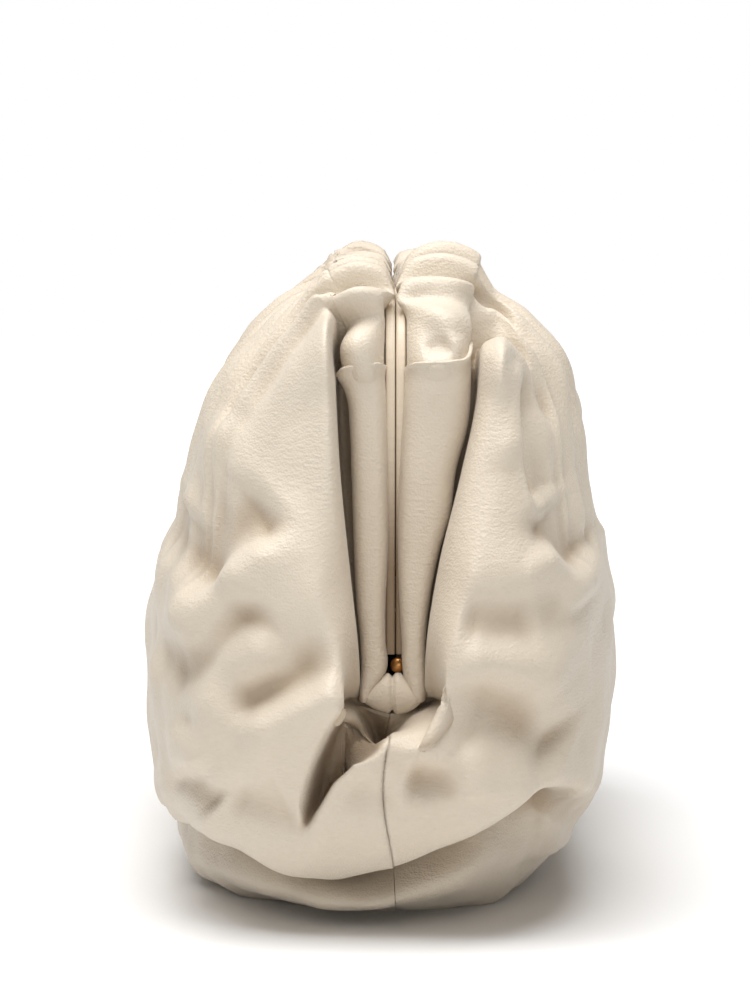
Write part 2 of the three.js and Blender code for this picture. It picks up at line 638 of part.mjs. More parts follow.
// Hinge pins, along Y through the feet of both bars, with a domed head on the outside
function hingePin(end) {
  const DOME_STEPS = 4;
  const SIDES = 12;
  const rim = PIN_LONG / 2 - 0.6 * PIN_HEAD_R;
  const shoulder = rim - PIN_HEAD_EDGE;
  const outline = [
    new THREE.Vector2(0, -PIN_LONG / 2),
    new THREE.Vector2(PIN_R, -PIN_LONG / 2),
    new THREE.Vector2(PIN_R, shoulder),
    new THREE.Vector2(PIN_HEAD_R, shoulder),
  ];
  for (let k = DOME_STEPS; k >= 0; k -= 1) {
    const turn = (Math.PI / 2) * (k / DOME_STEPS);
    const across = k === 0 ? 0 : PIN_HEAD_R * Math.sin(turn);
    outline.push(new THREE.Vector2(across, rim + 0.6 * PIN_HEAD_R * Math.cos(turn)));
  }
  const pin = mesh(`hinge_pin_${end < 0 ? 'near' : 'far'}`, new THREE.LatheGeometry(outline, SIDES), BRASS);
  pin.rotation.z = end < 0 ? Math.PI : 0;
  pin.position.set(0, end * (FRAME_HALF_LENGTH - 0.3 * PIN_LONG), PIN_HEIGHT);
  return pin;
}

// Hinge caps: a padded leather tab under each pin, pointed at the sides
function hingeCap(end) {
  const SLICES = 8;
  const AROUND = 10;
  const top = PIN_HEIGHT - PIN_HEAD_R - PIECE_GAP;
  const sections = [];
  for (let k = 0; k <= SLICES; k += 1) {
    const across = lerp(-1, 1, k / SLICES) * 0.96;
    const thin = (1 - across * across) ** 0.6;
    const high = (CAP_HIGH / 2) * thin;
    const middle = top - CAP_HIGH / 2 - 0.14 * CAP_HIGH * Math.abs(across);
    const ring = [];
    for (let j = 0; j < AROUND; j += 1) {
      const turn = (2 * Math.PI * j) / AROUND;
      const y = end * (FRAME_HALF_LENGTH - 1 + 0.5 * CAP_DEEP * thin ** 0.5 * Math.cos(turn));
      ring.push(new THREE.Vector3((CAP_WIDE / 2) * across, y, middle + high * Math.sin(turn)));
    }
    sections.push(ring);
  }
  return mesh(`hinge_cap_${end < 0 ? 'near' : 'far'}`, loft(sections, end < 0), LEATHER);
}

const bag = new THREE.Group();
for (const side of ['left', 'right']) {
  bag.add(panel(side), frame(side), legCover(side, -1), legCover(side, 1));
}
for (const end of [-1, 1]) bag.add(hingePin(end), hingeCap(end));

// The origin is the middle of the bag's bounding box, on the surface that it stands on
const box = new THREE.Box3().setFromObject(bag);
const middle = box.getCenter(new THREE.Vector3());
bag.position.set(-middle.x, -middle.y, -box.min.z);
bag.updateMatrixWorld(true);

export default bag;
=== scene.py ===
import math

import bmesh
import bpy
import numpy as np
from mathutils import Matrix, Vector


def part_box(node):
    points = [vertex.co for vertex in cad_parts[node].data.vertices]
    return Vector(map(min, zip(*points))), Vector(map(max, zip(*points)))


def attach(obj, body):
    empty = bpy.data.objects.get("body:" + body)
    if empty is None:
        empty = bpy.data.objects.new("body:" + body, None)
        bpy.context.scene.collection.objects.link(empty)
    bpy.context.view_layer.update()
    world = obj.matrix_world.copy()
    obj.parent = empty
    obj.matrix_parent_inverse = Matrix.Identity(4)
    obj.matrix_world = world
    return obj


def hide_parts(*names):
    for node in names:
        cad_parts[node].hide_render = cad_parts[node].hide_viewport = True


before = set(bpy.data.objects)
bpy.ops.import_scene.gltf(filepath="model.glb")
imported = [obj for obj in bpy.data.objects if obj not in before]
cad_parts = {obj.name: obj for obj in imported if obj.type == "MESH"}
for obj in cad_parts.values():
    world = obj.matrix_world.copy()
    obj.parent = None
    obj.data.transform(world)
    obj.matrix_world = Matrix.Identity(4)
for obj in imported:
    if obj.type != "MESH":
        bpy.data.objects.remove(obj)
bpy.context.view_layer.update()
scene = bpy.context.scene
MM = 0.001

# Panels. Each is one sheet of cream calf leather, gathered over a bar of the frame, drawn down into a
# full lobe and tucked under to a seam along the bottom. Sizes are in millimetres, from the mouth's plane
# and the middle of the frame.
HEIGHT = 227
HALF_LENGTH = 190
REACH = {"left": 87, "right": 78}
SIDE = {"left": -1, "right": 1}
FRAME_HALF_LENGTH = 153
FRAME_TOP = 209
FRAME_FOOT = 78
FRAME_CORNER = 24
BAR_THICK = 3.15
BAR_WIDE = 14
WALL = 1.2
CLEAR = 0.3
ROLL = 25
PITCH = 25
PLEAT = 5
FOLD = 10
CREASE = 13
NOTCH_DEEP = 30
NOTCH_WIDE = 15
HEM = 0.97
TOE = 12
FULLNESS = 0.62
FOOT_FULLNESS = {"left": 0.9, "right": 0.66}

mouth_x = (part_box("frame_left")[1].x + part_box("frame_right")[0].x) / 2
middle_y = (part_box("frame_left")[0].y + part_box("frame_left")[1].y) / 2
LEG = FRAME_TOP - FRAME_CORNER - FRAME_FOOT
ARC = math.pi / 2 * FRAME_CORNER
RAIL = 2 * (FRAME_HALF_LENGTH - FRAME_CORNER)
PATH = 2 * (TOE + LEG + ARC) + RAIL
BAR_FACE = CLEAR / 2 + BAR_THICK + CLEAR

# Outline of the lobes, from the base up. Shares: height, left reach, right reach, half length.
OUTLINE = [
    (0, 0.85, 0.62, 0.64),
    (0.02, 0.89, 0.68, 0.7),
    (0.055, 0.92, 0.77, 0.8),
    (0.12, 0.92, 0.88, 0.885),
    (0.185, 0.94, 0.945, 0.94),
    (0.25, 0.975, 0.97, 0.975),
    (0.31, 1, 0.98, 0.99),
    (0.38, 1, 0.995, 1),
    (0.445, 0.99, 1, 1),
    (0.51, 0.955, 0.975, 0.995),
    (0.575, 0.925, 0.94, 0.98),
    (0.64, 0.865, 0.89, 0.96),
    (0.705, 0.8, 0.87, 0.94),
    (0.77, 0.74, 0.825, 0.92),
    (0.835, 0.655, 0.76, 0.9),
    (0.9, 0.46, 0.56, 0.86),
    (0.94, 0.32, 0.38, 0.82),
    (1, 0.2, 0.2, 0.74),
]

# How far the ends draw in at the seam, under the hinge and along it. Shares: height, notch depth, then of
# NOTCH_WIDE how far the notch reaches to the left and right.
NOTCH = [
    (0, 0.1, 1.6, 1.6),
    (0.08, 0.08, 1.8, 1.4),
    (0.2, 0.04, 1.6, 1.3),
    (0.45, 0.05, 1, 0.85),
    (0.7, 0.3, 1, 1),
    (1, 0.67, 1, 1),
]
NOTCH_TILT = 0.5

# The roll over the bar and the flap beside it, from the foot of a leg up, round the corner and on along
# the top bar. The place in lengths of a leg, then shares of ROLL: the roll's outer edge and rise, the
# valley's place and depth, the flap's edge, and its crest's place and rise.
ROLLS = {
    "left": [
        (-0.03, 0.42, 0.06, 0.46, 0.5, 0.47, 0.58, -0.2),
        (0.03, 0.44, 0.12, 0.48, 0.5, 0.46, 0.57, 0.3),
        (0.13, 0.47, 0.18, 0.53, 0.44, 0.48, 0.58, 0.85),
        (0.4, 0.54, 0.2, 0.68, 0.52, 0.6, 0.7, 1.0),
        (0.7, 0.6, 0.22, 0.82, 0.6, 0.73, 0.83, 1.0),
        (0.92, 0.64, 0.26, 0.82, 0.6, 0.79, 0.88, 0.9),
        (1.08, 0.66, 0.32, 0.82, 0.52, 0.82, 0.9, 0.75),
        (1.15, 0.68, 0.34, 0.8, 0.1, 0.82, 0.92, 0.42),
        (1.22, 0.72, 0.34, 0.84, -0.24, 0.9, 1.0, 0.22),
        (1.32, 0.78, 0.32, 0.9, -0.18, 0.96, 1.05, 0.04),
        (1.46, 0.8, 0.33, 0.92, -0.16, 0.98, 1.08, -0.05),
        (1.64, 0.82, 0.28, 0.94, -0.14, 1.0, 1.12, -0.1),
        (2, 0.82, 0.08, 0.94, -0.04, 1.02, 1.16, -0.22),
    ],
    "right": [
        (-0.03, 0.4, 0.06, 0.45, 0.5, 0.45, 0.56, -0.2),
        (0.03, 0.4, 0.12, 0.46, 0.48, 0.42, 0.53, 0.3),
        (0.13, 0.4, 0.18, 0.48, 0.42, 0.4, 0.51, 0.85),
        (0.4, 0.53, 0.2, 0.62, 0.48, 0.55, 0.66, 0.95),
        (0.7, 0.8, 0.22, 0.94, 0.52, 0.86, 0.97, 0.8),
        (0.92, 0.94, 0.28, 1.12, 0.52, 1.08, 1.26, 0.6),
        (1.06, 0.96, 0.34, 1.16, 0.54, 1.16, 1.4, 0.5),
        (1.12, 0.97, 0.34, 1.17, 0.58, 1.18, 1.42, 0.0),
        (1.17, 0.98, 0.33, 1.16, 0.56, 1.18, 1.4, -0.5),
        (1.23, 1.0, 0.32, 1.12, 0.3, 1.2, 1.36, -0.4),
        (1.3, 1.0, 0.3, 1.1, 0.04, 1.16, 1.3, -0.16),
        (1.46, 1.0, 0.36, 1.08, -0.02, 1.14, 1.24, -0.18),
        (1.64, 1.0, 0.38, 1.08, -0.04, 1.14, 1.22, -0.2),
        (2, 0.96, 0.2, 1.06, -0.04, 1.14, 1.24, -0.26),
    ],
}

# The lobe's lower lip, which hangs over the base. Shares: reach, height of the lip, depth of the crease.
LIPS = {
    "left": [
        (0, 0.103, 1),
        (0.15, 0.091, 1),
        (0.3, 0.085, 1),
        (0.43, 0.092, 1),
        (0.59, 0.113, 1),
        (0.7, 0.122, 0.9),
        (1, 0.12, 0.6),
    ],
    "right": [
        (0, 0.105, 1),
        (0.21, 0.135, 1),
        (0.39, 0.168, 1),
        (0.53, 0.196, 1),
        (0.63, 0.233, 0.9),
        (0.75, 0.264, 0.6),
        (1, 0.28, 0),
    ],
}


def ease(value):
    value = np.clip(value, 0, 1)
    return value * value * (3 - 2 * value)


def lerp(low, high, share):
    return low + (high - low) * share


def read(table, column, place):
    """A column of a table at places between its rows, on a smooth curve through them."""
    table = np.array(table, float)
    at, value = table[:, 0], table[:, column]
    slope = np.gradient(value, at, edge_order=1)
    where = np.clip(place, at[0], at[-1])
    k = np.clip(np.searchsorted(at, where) - 1, 0, len(at) - 2)
    step = at[k + 1] - at[k]
    t = (where - at[k]) / step
    low = value[k] * (1 + 2 * t) * (1 - t) ** 2 + slope[k] * step * t * (1 - t) ** 2
    high = value[k + 1] * t * t * (3 - 2 * t) + slope[k + 1] * step * t * t * (t - 1)
    return low + high


def lobe_point(side, angle, z):
    """A point of the plain lobe, at an angle from the near seam (0) to the far seam (pi), at a height."""
    share = z / HEIGHT
    wide = REACH[side] * read(OUTLINE, 1 if side == "left" else 2, share)
    long = HALF_LENGTH * read(OUTLINE, 3, share)
    fullness = lerp(FOOT_FULLNESS[side], FULLNESS, ease(share / 0.1))
    x = wide * np.abs(np.sin(angle)) ** fullness
    tilted = share - NOTCH_TILT * SIDE[side] * x / HEIGHT
    notch_wide = NOTCH_WIDE * read(NOTCH, 2 if side == "left" else 3, share)
    draw = NOTCH_DEEP * read(NOTCH, 1, tilted) * np.exp(-((x / notch_wide) ** 3))
    y = -np.sign(np.cos(angle)) * (long * np.abs(np.cos(angle)) ** fullness - draw)
    return np.stack([SIDE[side] * x, y, z + 0 * x], -1)


def frame_place(distance):
    """A place on the frame's path, with the way out of the frame there, in the mouth's plane."""
    far = distance > PATH / 2
    from_toe = np.where(far, PATH - distance, distance) - TOE
    turn = np.clip((from_toe - LEG) / FRAME_CORNER, 0, math.pi / 2)
    toe = ease(-from_toe / TOE)
    run = np.maximum(from_toe - LEG - ARC, 0)
    mirror = np.where(far, -1, 1)
    return {
        "y": mirror * (FRAME_CORNER * (1 - np.cos(turn)) - FRAME_HALF_LENGTH + run + toe * TOE / 2),
        "z": FRAME_FOOT + np.clip(from_toe, 0, LEG) + FRAME_CORNER * np.sin(turn) - toe * TOE / 2,
        "out_y": -mirror * np.cos(turn),
        "out_z": np.sin(turn),
        "leg": from_toe / LEG,
        "from_leg": distance - TOE - LEG,
    }


# The lobe's length round the bag, which the panel is spread over evenly. Its ends take up END_SHARE each.
END_SHARE = 0.205
turns = np.linspace(0, math.pi, 721)
round_lobe = lobe_point("left", turns, np.full(turns.shape, 0.4 * HEIGHT))
round_length = np.concatenate([[0], np.cumsum(np.linalg.norm(np.diff(round_lobe, axis=0), axis=1))])


def lobe_angle(distance):
    """The angle on the lobe that belongs to a distance on the path: even steps round the lobe."""
    near = np.minimum(distance, PATH - distance)
    end = TOE + LEG + ARC
    on_end = END_SHARE * (near / end) ** 0.95
    on_side = END_SHARE + (0.5 - END_SHARE) * (near - end) / (RAIL / 2)
    angle = np.interp(np.where(near < end, on_end, on_side) * round_length[-1], round_length, turns)
    return np.where(distance > PATH / 2, math.pi - angle, angle)


def crest_angle(side, crest):
    """The angle on the lobe that faces a crest, seen from above the middle of that half of the bag."""
    reach = 0.72 * FRAME_HALF_LENGTH
    middle = np.clip(crest[:, 1], -reach, reach)
    wanted = np.arctan2(np.abs(crest[:, 0]), middle - crest[:, 1])
    found = []
    for k in range(len(crest)):
        ring = lobe_point(side, turns, np.full(turns.shape, min(crest[k, 2], 0.98 * HEIGHT)))
        off = np.abs(np.arctan2(np.abs(ring[:, 0]), middle[k] - ring[:, 1]) - wanted[k])
        found.append(turns[np.argmin(off)])
    smooth = 6
    padded = np.pad(np.array(found), smooth, mode="edge")
    return np.convolve(padded, np.ones(2 * smooth + 1) / (2 * smooth + 1), "valid")


# Pleats over the near corner of the frame. Shares of PITCH: distance from the top of the leg, half width,
# then of PLEAT the height, and how far its crest leans towards the near end.
PLEATS = {
    "left": [
        (0.34, 0.26, 0.75, 0.0),
        (0.9, 0.16, 1.2, 1.1),
        (1.42, 0.16, 1.1, 1.0),
        (2.0, 0.18, 1.15, 0.8),
        (2.72, 0.28, 1.1, 0.4),
    ],
    "right": [
        (0.6, 0.34, 0.6, 0.0),
        (1.25, 0.18, 0.75, 0.5),
        (1.9, 0.22, 1.2, 0.9),
        (2.7, 0.3, 1.5, 1.1),
    ],
}
PLEATS_END = 3.1


def gather(side, place, row):
    """Gathers along the top bar at a row of the panel: how high they stand, and how far they lean. Past the
    chosen pleats they are a wave of uneven length and size with finer folds on it."""
    sign = SIDE[side]
    straight = place["from_leg"] / PITCH
    left = (PATH - 2 * (TOE + LEG)) / PITCH - straight
    near = 1 - ease((straight - PLEATS_END) / 0.6)
    along = straight + (1 - near) * 0.07 * (row - 3) * np.sin(sign + straight / 1.3)
    fade = ease(straight) * ease(left)
    turn = along + 0.28 * np.sin(sign + along / 1.64) + 0.18 * np.sin(2 * sign + along / 0.68)
    size = fade * (0.65 + 0.35 * np.sin(1.3 * sign + along / 1.16))
    fine = 0.42 * np.sin(2 * math.pi * 2.3 * along + 2 * np.sin(along * 1.7 + sign))
    wave = size * (0.8 * np.sin(2 * math.pi * turn) + fine)
    lean = 0.7 * size * np.cos(2 * math.pi * turn)
    first_wave = -0.9 * ease(straight / 0.5)
    first_lean = 0 * along
    for at, wide, high, tip in PLEATS[side]:
        bump = np.exp(-(((straight - at) / wide) ** 2))
        first_wave = first_wave + 1.7 * high * bump
        first_lean = first_lean + tip * bump
    return lerp(wave, first_wave, near), lerp(lean, -first_lean, near)


def opening(leg):
    """How far a panel has opened from the seam: 0 on the seam, 1 beside the frame."""
    return ease((leg + TOE / LEG) / 0.075)


# The profile's points at the valley and at the flap's crest, and where the roll starts to flow over into
# the flap, in lengths of a leg
VALLEY_ROW = 6
CREST_ROW = 8
FLOW_START = 1.12
FLOW_LONG = 0.12


def profile(side, distance):
    """Points down the panel at each station: roll (0 to 4), valley (5, 6), flap (7, 8), lobe (9 to 12),
    lip and crease (13 to 16), base (17 to 20)."""
    sign = SIDE[side]
    place = frame_place(distance)
    leg = place["leg"]
    sizes = [ROLL * read(ROLLS[side], column, leg) for column in range(1, 8)]
    outer_edge, rise, valley, deep, edge, crest_out, high = sizes
    open_share = opening(leg)
    inset = (WALL + 1.3) * ease((HEM + 0.02 - leg) / 0.04)
    flowing = ease((leg - FLOW_START) / FLOW_LONG)
    points = []

    def add(outward, up, share):
        wave, lean = gather(side, place, len(points))
        across = lerp(CLEAR / 2, outward + 0.5 * share * wave * PLEAT, open_share)
        above = lerp(len(points) - VALLEY_ROW, up + share * wave * PLEAT, open_share)
        along = share * lean * 0.8 * PLEAT
        y = place["y"] + place["out_y"] * above + place["out_z"] * along
        z = place["z"] + place["out_z"] * above - place["out_y"] * along
        points.append(np.stack([sign * across, y, z], -1))

    inner = BAR_FACE + inset
    outer = outer_edge - inset
    top = rise - inset
    add(inner, -0.65 * BAR_WIDE, 0)
    add(inner, 0, 0.3)
    add(lerp(lerp(inner, outer, 0.24), 1.2, flowing), lerp(0.92, 0.8, flowing) * top, lerp(1, 0.8, flowing))
    add(lerp(inner, outer, lerp(0.68, 0.42, flowing)), top, 1.15)
    side_up = lerp(0.25, 0.62, flowing) * top
    add(outer, side_up, 1)
    add(outer, lerp(-0.7 * deep, lerp(side_up, -deep, 0.6), flowing), lerp(0.6, 1, flowing))
    add((outer_edge + valley) / 2, -deep, lerp(0.4, 1, flowing))
    add(edge, lerp(-deep, high, 0.75), lerp(0.5, 1, flowing))
    add(crest_out, high, lerp(0.3, 0.9, flowing))
    crest = points[CREST_ROW]
    seam_angle = np.where(distance > PATH / 2, math.pi, 0)
    start = lerp(seam_angle, crest_angle(side, crest), open_share)
    to = lobe_angle(distance)
    away = np.stack([sign * np.sin(to), -np.cos(to), 0 * to], -1)
    reach = np.sin(to) ** FULLNESS
    near_end = to < math.pi / 2
    lip_deep = read(LIPS[side], 2, reach) * np.where(near_end, 1, 0.55)
    lip_share = read(LIPS[side], 1, reach)
    lip = HEIGHT * np.where(near_end, lip_share, 0.8 * lip_share + 0.026)
    above_lip = lerp(0.3 * crest[:, 2], lip + 1.1 * CREASE, lip_deep)
    for up, share, down in [(0.94, 0.3, 0.14), (0.815, 0.62, 0.3), (0.6, 0.88, 0.48), (0.34, 1, 0.66)]:
        point = lobe_point(side, lerp(start, to, share), lerp(above_lip, crest[:, 2], up))
        point = lerp(point, crest, 0.35 * math.exp(-((down / 0.14) ** 2)))
        swell = gather(side, place, len(points))[0] * 0.8 * PLEAT * max(1 - down / 0.7, 0) ** 1.4
        points.append(point + away * swell[:, None])
    foot = lobe_point(side, to, 0 * to)
    for z, out in [(above_lip, 0.46), (lerp(0.18 * crest[:, 2], lip, lip_deep), 0.3)]:
        points.append(lobe_point(side, to, z) + away * (out * lip_deep * CREASE)[:, None])
    for left, outward, low in [(0.1, 1.1, lip + 0.1 * CREASE), (0.04, 1.3, 0.45 * lip)]:
        plain = lobe_point(side, to, left * crest[:, 2])
        tucked = np.stack([lerp(1, outward, 0.2) * foot[:, 0], outward * foot[:, 1], low], -1)
        points.append(lerp(plain, tucked, lip_deep[:, None]))
    seam_end = 0.96 * lobe_point(side, np.zeros(1), np.zeros(1))[0, 1]
    seam_y = seam_end * (1 - 2 * distance / PATH)
    for across, up in [(1, WALL), (0.9, 0), (0.5, 0), (0, 0)]:
        y = lerp(seam_y, foot[:, 1], across)
        points.append(np.stack([foot[:, 0] * across, y, 0 * seam_y + up], -1))
    return np.stack(points, 1)


def down_profile(points, row):
    """Points read at rows between the profile's own, on a centripetal curve through them."""
    stations, count, _ = points.shape
    k = np.clip(np.floor(row).astype(int), 0, count - 2)
    u = (row - k)[..., None]
    ends = (2 * points[:, :1] - points[:, 1:2], 2 * points[:, -1:] - points[:, -2:-1])
    padded = np.concatenate([ends[0], points, ends[1]], 1)
    station = np.arange(stations)[:, None]
    before, first, second, after = (padded[station, k + shift] for shift in range(4))

    def step(a, b):
        return np.maximum(np.sqrt(np.linalg.norm(b - a, axis=-1, keepdims=True)), 1e-4)

    d0, d1, d2 = step(before, first), step(first, second), step(second, after)
    leave = ((first - before) / d0 - (second - before) / (d0 + d1) + (second - first) / d1) * d1
    arrive = ((second - first) / d1 - (after - first) / (d1 + d2) + (after - second) / d2) * d1
    low = (2 * u**3 - 3 * u**2 + 1) * first + (u**3 - 2 * u**2 + u) * leave
    return low + (3 * u**2 - 2 * u**3) * second + (u**3 - u**2) * arrive


# Folds of the near end, as seen from that end. Heights on the left and right of the fold's line, widths on
# the left and right and the softness of the step between them are shares of FOLD; the line's points are
# shares of the reach and the height.
FOLDS = [
    ("upper hollow", (-0.75, -0.75), (0.8, 1.8), 0.3,
     [(-0.41, 0.642), (-0.5, 0.609), (-0.58, 0.588), (-0.66, 0.563), (-0.74, 0.527), (-0.81, 0.486)]),
    ("long ridge", (0.65, 0.65), (0.9, 0.8), 0.3,
     [(-0.36, 0.616), (-0.47, 0.579), (-0.56, 0.552), (-0.65, 0.516), (-0.74, 0.475), (-0.8, 0.439),
      (-0.88, 0.39)]),
    ("long hollow", (-0.6, -0.6), (0.8, 1.0), 0.3,
     [(-0.5, 0.515), (-0.58, 0.481), (-0.66, 0.445), (-0.74, 0.405), (-0.81, 0.373), (-0.87, 0.342)]),
    ("second ridge", (0.5, 0.5), (1.1, 1.1), 0.3,
     [(-0.43, 0.452), (-0.5, 0.43), (-0.58, 0.402), (-0.66, 0.374), (-0.74, 0.345), (-0.82, 0.325)]),
    ("flap crease", (-0.7, -0.7), (0.55, 1.2), 0.3,
     [(-0.19, 0.412), (-0.28, 0.406), (-0.36, 0.39), (-0.43, 0.377), (-0.51, 0.362), (-0.58, 0.347),
      (-0.65, 0.33)]),
    ("flap ridge", (0.7, 0.7), (1.4, 0.7), 0.3,
     [(-0.18, 0.388), (-0.23, 0.379), (-0.29, 0.36), (-0.36, 0.346), (-0.43, 0.333), (-0.52, 0.318),
      (-0.62, 0.303)]),
    ("left facet", (0.4, 0.4), (0.6, 0.5), 0.3,
     [(-0.6, 0.764), (-0.66, 0.716), (-0.73, 0.658), (-0.79, 0.621), (-0.84, 0.602)]),
    ("low hollow", (-0.35, -0.35), (1.1, 1.1), 0.3,
     [(-0.7, 0.222), (-0.55, 0.2), (-0.43, 0.187), (-0.34, 0.2)]),
    ("left pinch", (-0.4, -0.4), (0.6, 0.6), 0.3,
     [(-0.88, 0.23), (-0.77, 0.206), (-0.68, 0.182)]),
    ("left bulge", (0.3, 0.3), (0.8, 0.8), 0.3,
     [(-0.82, 0.31), (-0.78, 0.27), (-0.72, 0.245)]),
    ("column", (0.3, 0.3), (0.8, 0.8), 0.3,
     [(0.44, 0.84), (0.44, 0.8), (0.44, 0.74), (0.43, 0.68)]),
    ("right crease", (-0.7, 0.05), (1.1, 0.8), 0.3,
     [(0.54, 0.85), (0.54, 0.78), (0.54, 0.723), (0.56, 0.681), (0.58, 0.646), (0.61, 0.617)]),
    ("shoulder hollow", (-0.6, -0.6), (1.2, 0.6), 0.3,
     [(0.58, 0.64), (0.64, 0.603), (0.69, 0.584), (0.78, 0.554), (0.84, 0.529)]),
    ("shoulder ridge", (0.45, 0.45), (0.7, 0.9), 0.3,
     [(0.56, 0.58), (0.64, 0.553), (0.7, 0.53), (0.77, 0.504), (0.83, 0.478)]),
    ("upper ridge", (0.2, 0.2), (1.2, 1.0), 0.3,
     [(0.24, 0.521), (0.43, 0.53), (0.6, 0.522)]),
    ("upper dimple", (-0.35, -0.35), (1.2, 1.1), 0.3,
     [(0.24, 0.473), (0.43, 0.466), (0.6, 0.469)]),
    ("low ridge", (0.4, 0.4), (1.1, 0.8), 0.3,
     [(0.2, 0.411), (0.35, 0.415), (0.47, 0.405), (0.6, 0.386), (0.7, 0.353)]),
    ("dimple", (-0.7, -0.7), (1.1, 1.3), 0.3,
     [(0.22, 0.375), (0.39, 0.354), (0.56, 0.318), (0.69, 0.287), (0.76, 0.27)]),
    ("belly gleam", (0.45, 0.45), (0.6, 0.5), 0.3,
     [(0.04, 0.268), (0.12, 0.284), (0.2, 0.284), (0.26, 0.268)]),
    ("belly hollow", (-0.5, -0.5), (0.6, 0.8), 0.3,
     [(0.08, 0.245), (0.16, 0.242), (0.24, 0.238), (0.27, 0.2)]),
    ("belly ridge", (0.35, 0.35), (0.8, 0.8), 0.3,
     [(0.3, 0.302), (0.34, 0.251), (0.35, 0.207)]),
    ("base ridge", (0.4, 0.4), (0.7, 0.7), 0.3,
     [(0.56, 0.194), (0.67, 0.108), (0.7, 0.059)]),
]

# Folds of the same kind on the roll above the right sleeve and over the top of the right lobe
TOP_FOLDS = [
    ("roll hollow", (-0.3, -0.3), (0.5, 0.5), 0.3,
     [(0.03, 0.93), (0.07, 0.91), (0.12, 0.885), (0.185, 0.857)]),
    ("roll dimple", (-0.4, -0.4), (0.38, 0.38), 0.3,
     [(0.13, 0.862), (0.185, 0.855), (0.24, 0.862)]),
    ("roll curl", (0.25, 0.25), (0.3, 0.3), 0.3,
     [(0.06, 0.838), (0.2, 0.838), (0.255, 0.855), (0.28, 0.88)]),
    ("shoulder fold", (0.05, -0.55), (1.0, 1.1), 0.35,
     [(0.24, 0.945), (0.34, 0.94), (0.42, 0.925), (0.48, 0.9), (0.53, 0.86)]),
]

# The recess under the hinge, between the edges of the two lobes and above the belly's brim. Its sides are
# shares of the height and of the reach, the brim's points of the reach and of the height. It is RECESS_DEEP
# deep, sags behind the brim, its edges turn in over RECESS_EDGE and BRIM_EDGE, and it is smoothed
# RECESS_TURNS times.
RECESS_LEFT = [
    (0.135, -0.35),
    (0.198, -0.33),
    (0.262, -0.28),
    (0.31, -0.235),
    (0.34, -0.19),
    (0.37, -0.16),
]
RECESS_RIGHT = [
    (0.27, 0.26),
    (0.304, 0.22),
    (0.335, 0.16),
    (0.364, 0.13),
]
BRIM = [
    (-0.36, 0.14),
    (-0.29, 0.195),
    (-0.21, 0.24),
    (-0.11, 0.274),
    (-0.01, 0.3),
    (0.08, 0.32),
    (0.18, 0.345),
    (0.27, 0.37),
]
RECESS_DEEP = 34
RECESS_SAG = 16
RECESS_TOP = 0.385
RECESS_FADE = 0.04
RECESS_EDGE = 5
BRIM_EDGE = 6
RECESS_TURNS = 6


def recess(x, z):
    """How far back the recess is and how far it sags at places seen at x and z, from 0 to 1."""
    across = x / np.where(x < 0, REACH["left"], REACH["right"])
    up = z / HEIGHT
    left, right, brim = (np.array(line) for line in (RECESS_LEFT, RECESS_RIGHT, BRIM))
    from_left = (across - np.interp(up, left[:, 0], left[:, 1])) * REACH["left"]
    from_right = (np.interp(up, right[:, 0], right[:, 1]) - across) * REACH["right"]
    above = (up - np.interp(across, brim[:, 0], brim[:, 1])) * HEIGHT
    between = ease((from_left + 1) / RECESS_EDGE) * ease((from_right + 1) / RECESS_EDGE)
    inside = between * ease((RECESS_TOP - up) / RECESS_FADE)
    back = inside * ease((above + 0.5) / BRIM_EDGE)
    return back, inside * ease((above - 0.5) / 4) * ease((9 - above) / 5)


def fold_line(path):
    """A fold's line in millimetres, as a smooth curve through its points."""
    points = np.array([(x * (REACH["left"] if x < 0 else REACH["right"]), z * HEIGHT) for x, z in path])
    points = np.vstack([2 * points[0] - points[1], points, 2 * points[-1] - points[-2]])
    line = []
    for place in np.linspace(0, len(path) - 1, 8 * len(path)):
        k = min(int(place), len(path) - 2)
        u = place - k
        a, b, c, d = points[k : k + 4]
        line.append(b + 0.5 * u * (c - a + u * (2 * a - 5 * b + 4 * c - d + u * (3 * (b - c) + d - a))))
    return np.array(line)


def fold_height(fold, x, z):
    """How far a fold moves points that are seen at x and z, in millimetres."""
    heights, widths, soft, path = fold[1:]
    line = fold_line(path)
    closest = np.full(x.shape, 1e9)
    offset = np.zeros(x.shape)
    share = np.zeros(x.shape)
    for k in range(len(line) - 1):
        step = line[k + 1] - line[k]
        along = ((x - line[k, 0]) * step[0] + (z - line[k, 1]) * step[1]) / (step @ step)
        t = np.clip(along, 0, 1)
        off_x = x - line[k, 0] - t * step[0]
        off_z = z - line[k, 1] - t * step[1]
        off = np.hypot(off_x, off_z)
        near = off < closest
        closest = np.where(near, off, closest)
        beside = (step[0] * (z - line[k, 1]) - step[1] * (x - line[k, 0])) / np.hypot(*step)
        offset = np.where(near, beside, offset)
        share = np.where(near, (k + t) / (len(line) - 1), share)
    left = heights[0] * np.exp(-((closest / (widths[0] * FOLD)) ** 2))
    right = heights[1] * np.exp(-((closest / (widths[1] * FOLD)) ** 2))
    ends = ease(share / 0.25) * ease((1 - share) / 0.25)
    return FOLD * ends * lerp(right, left, ease(0.5 + offset / (2 * soft * FOLD)))


# Drapes down the long sides, that start under the gathers: how many on a side, and their sizes
DRAPES = 17
DRAPE_HIGH = 4.2
DRAPE_WIDE = 9


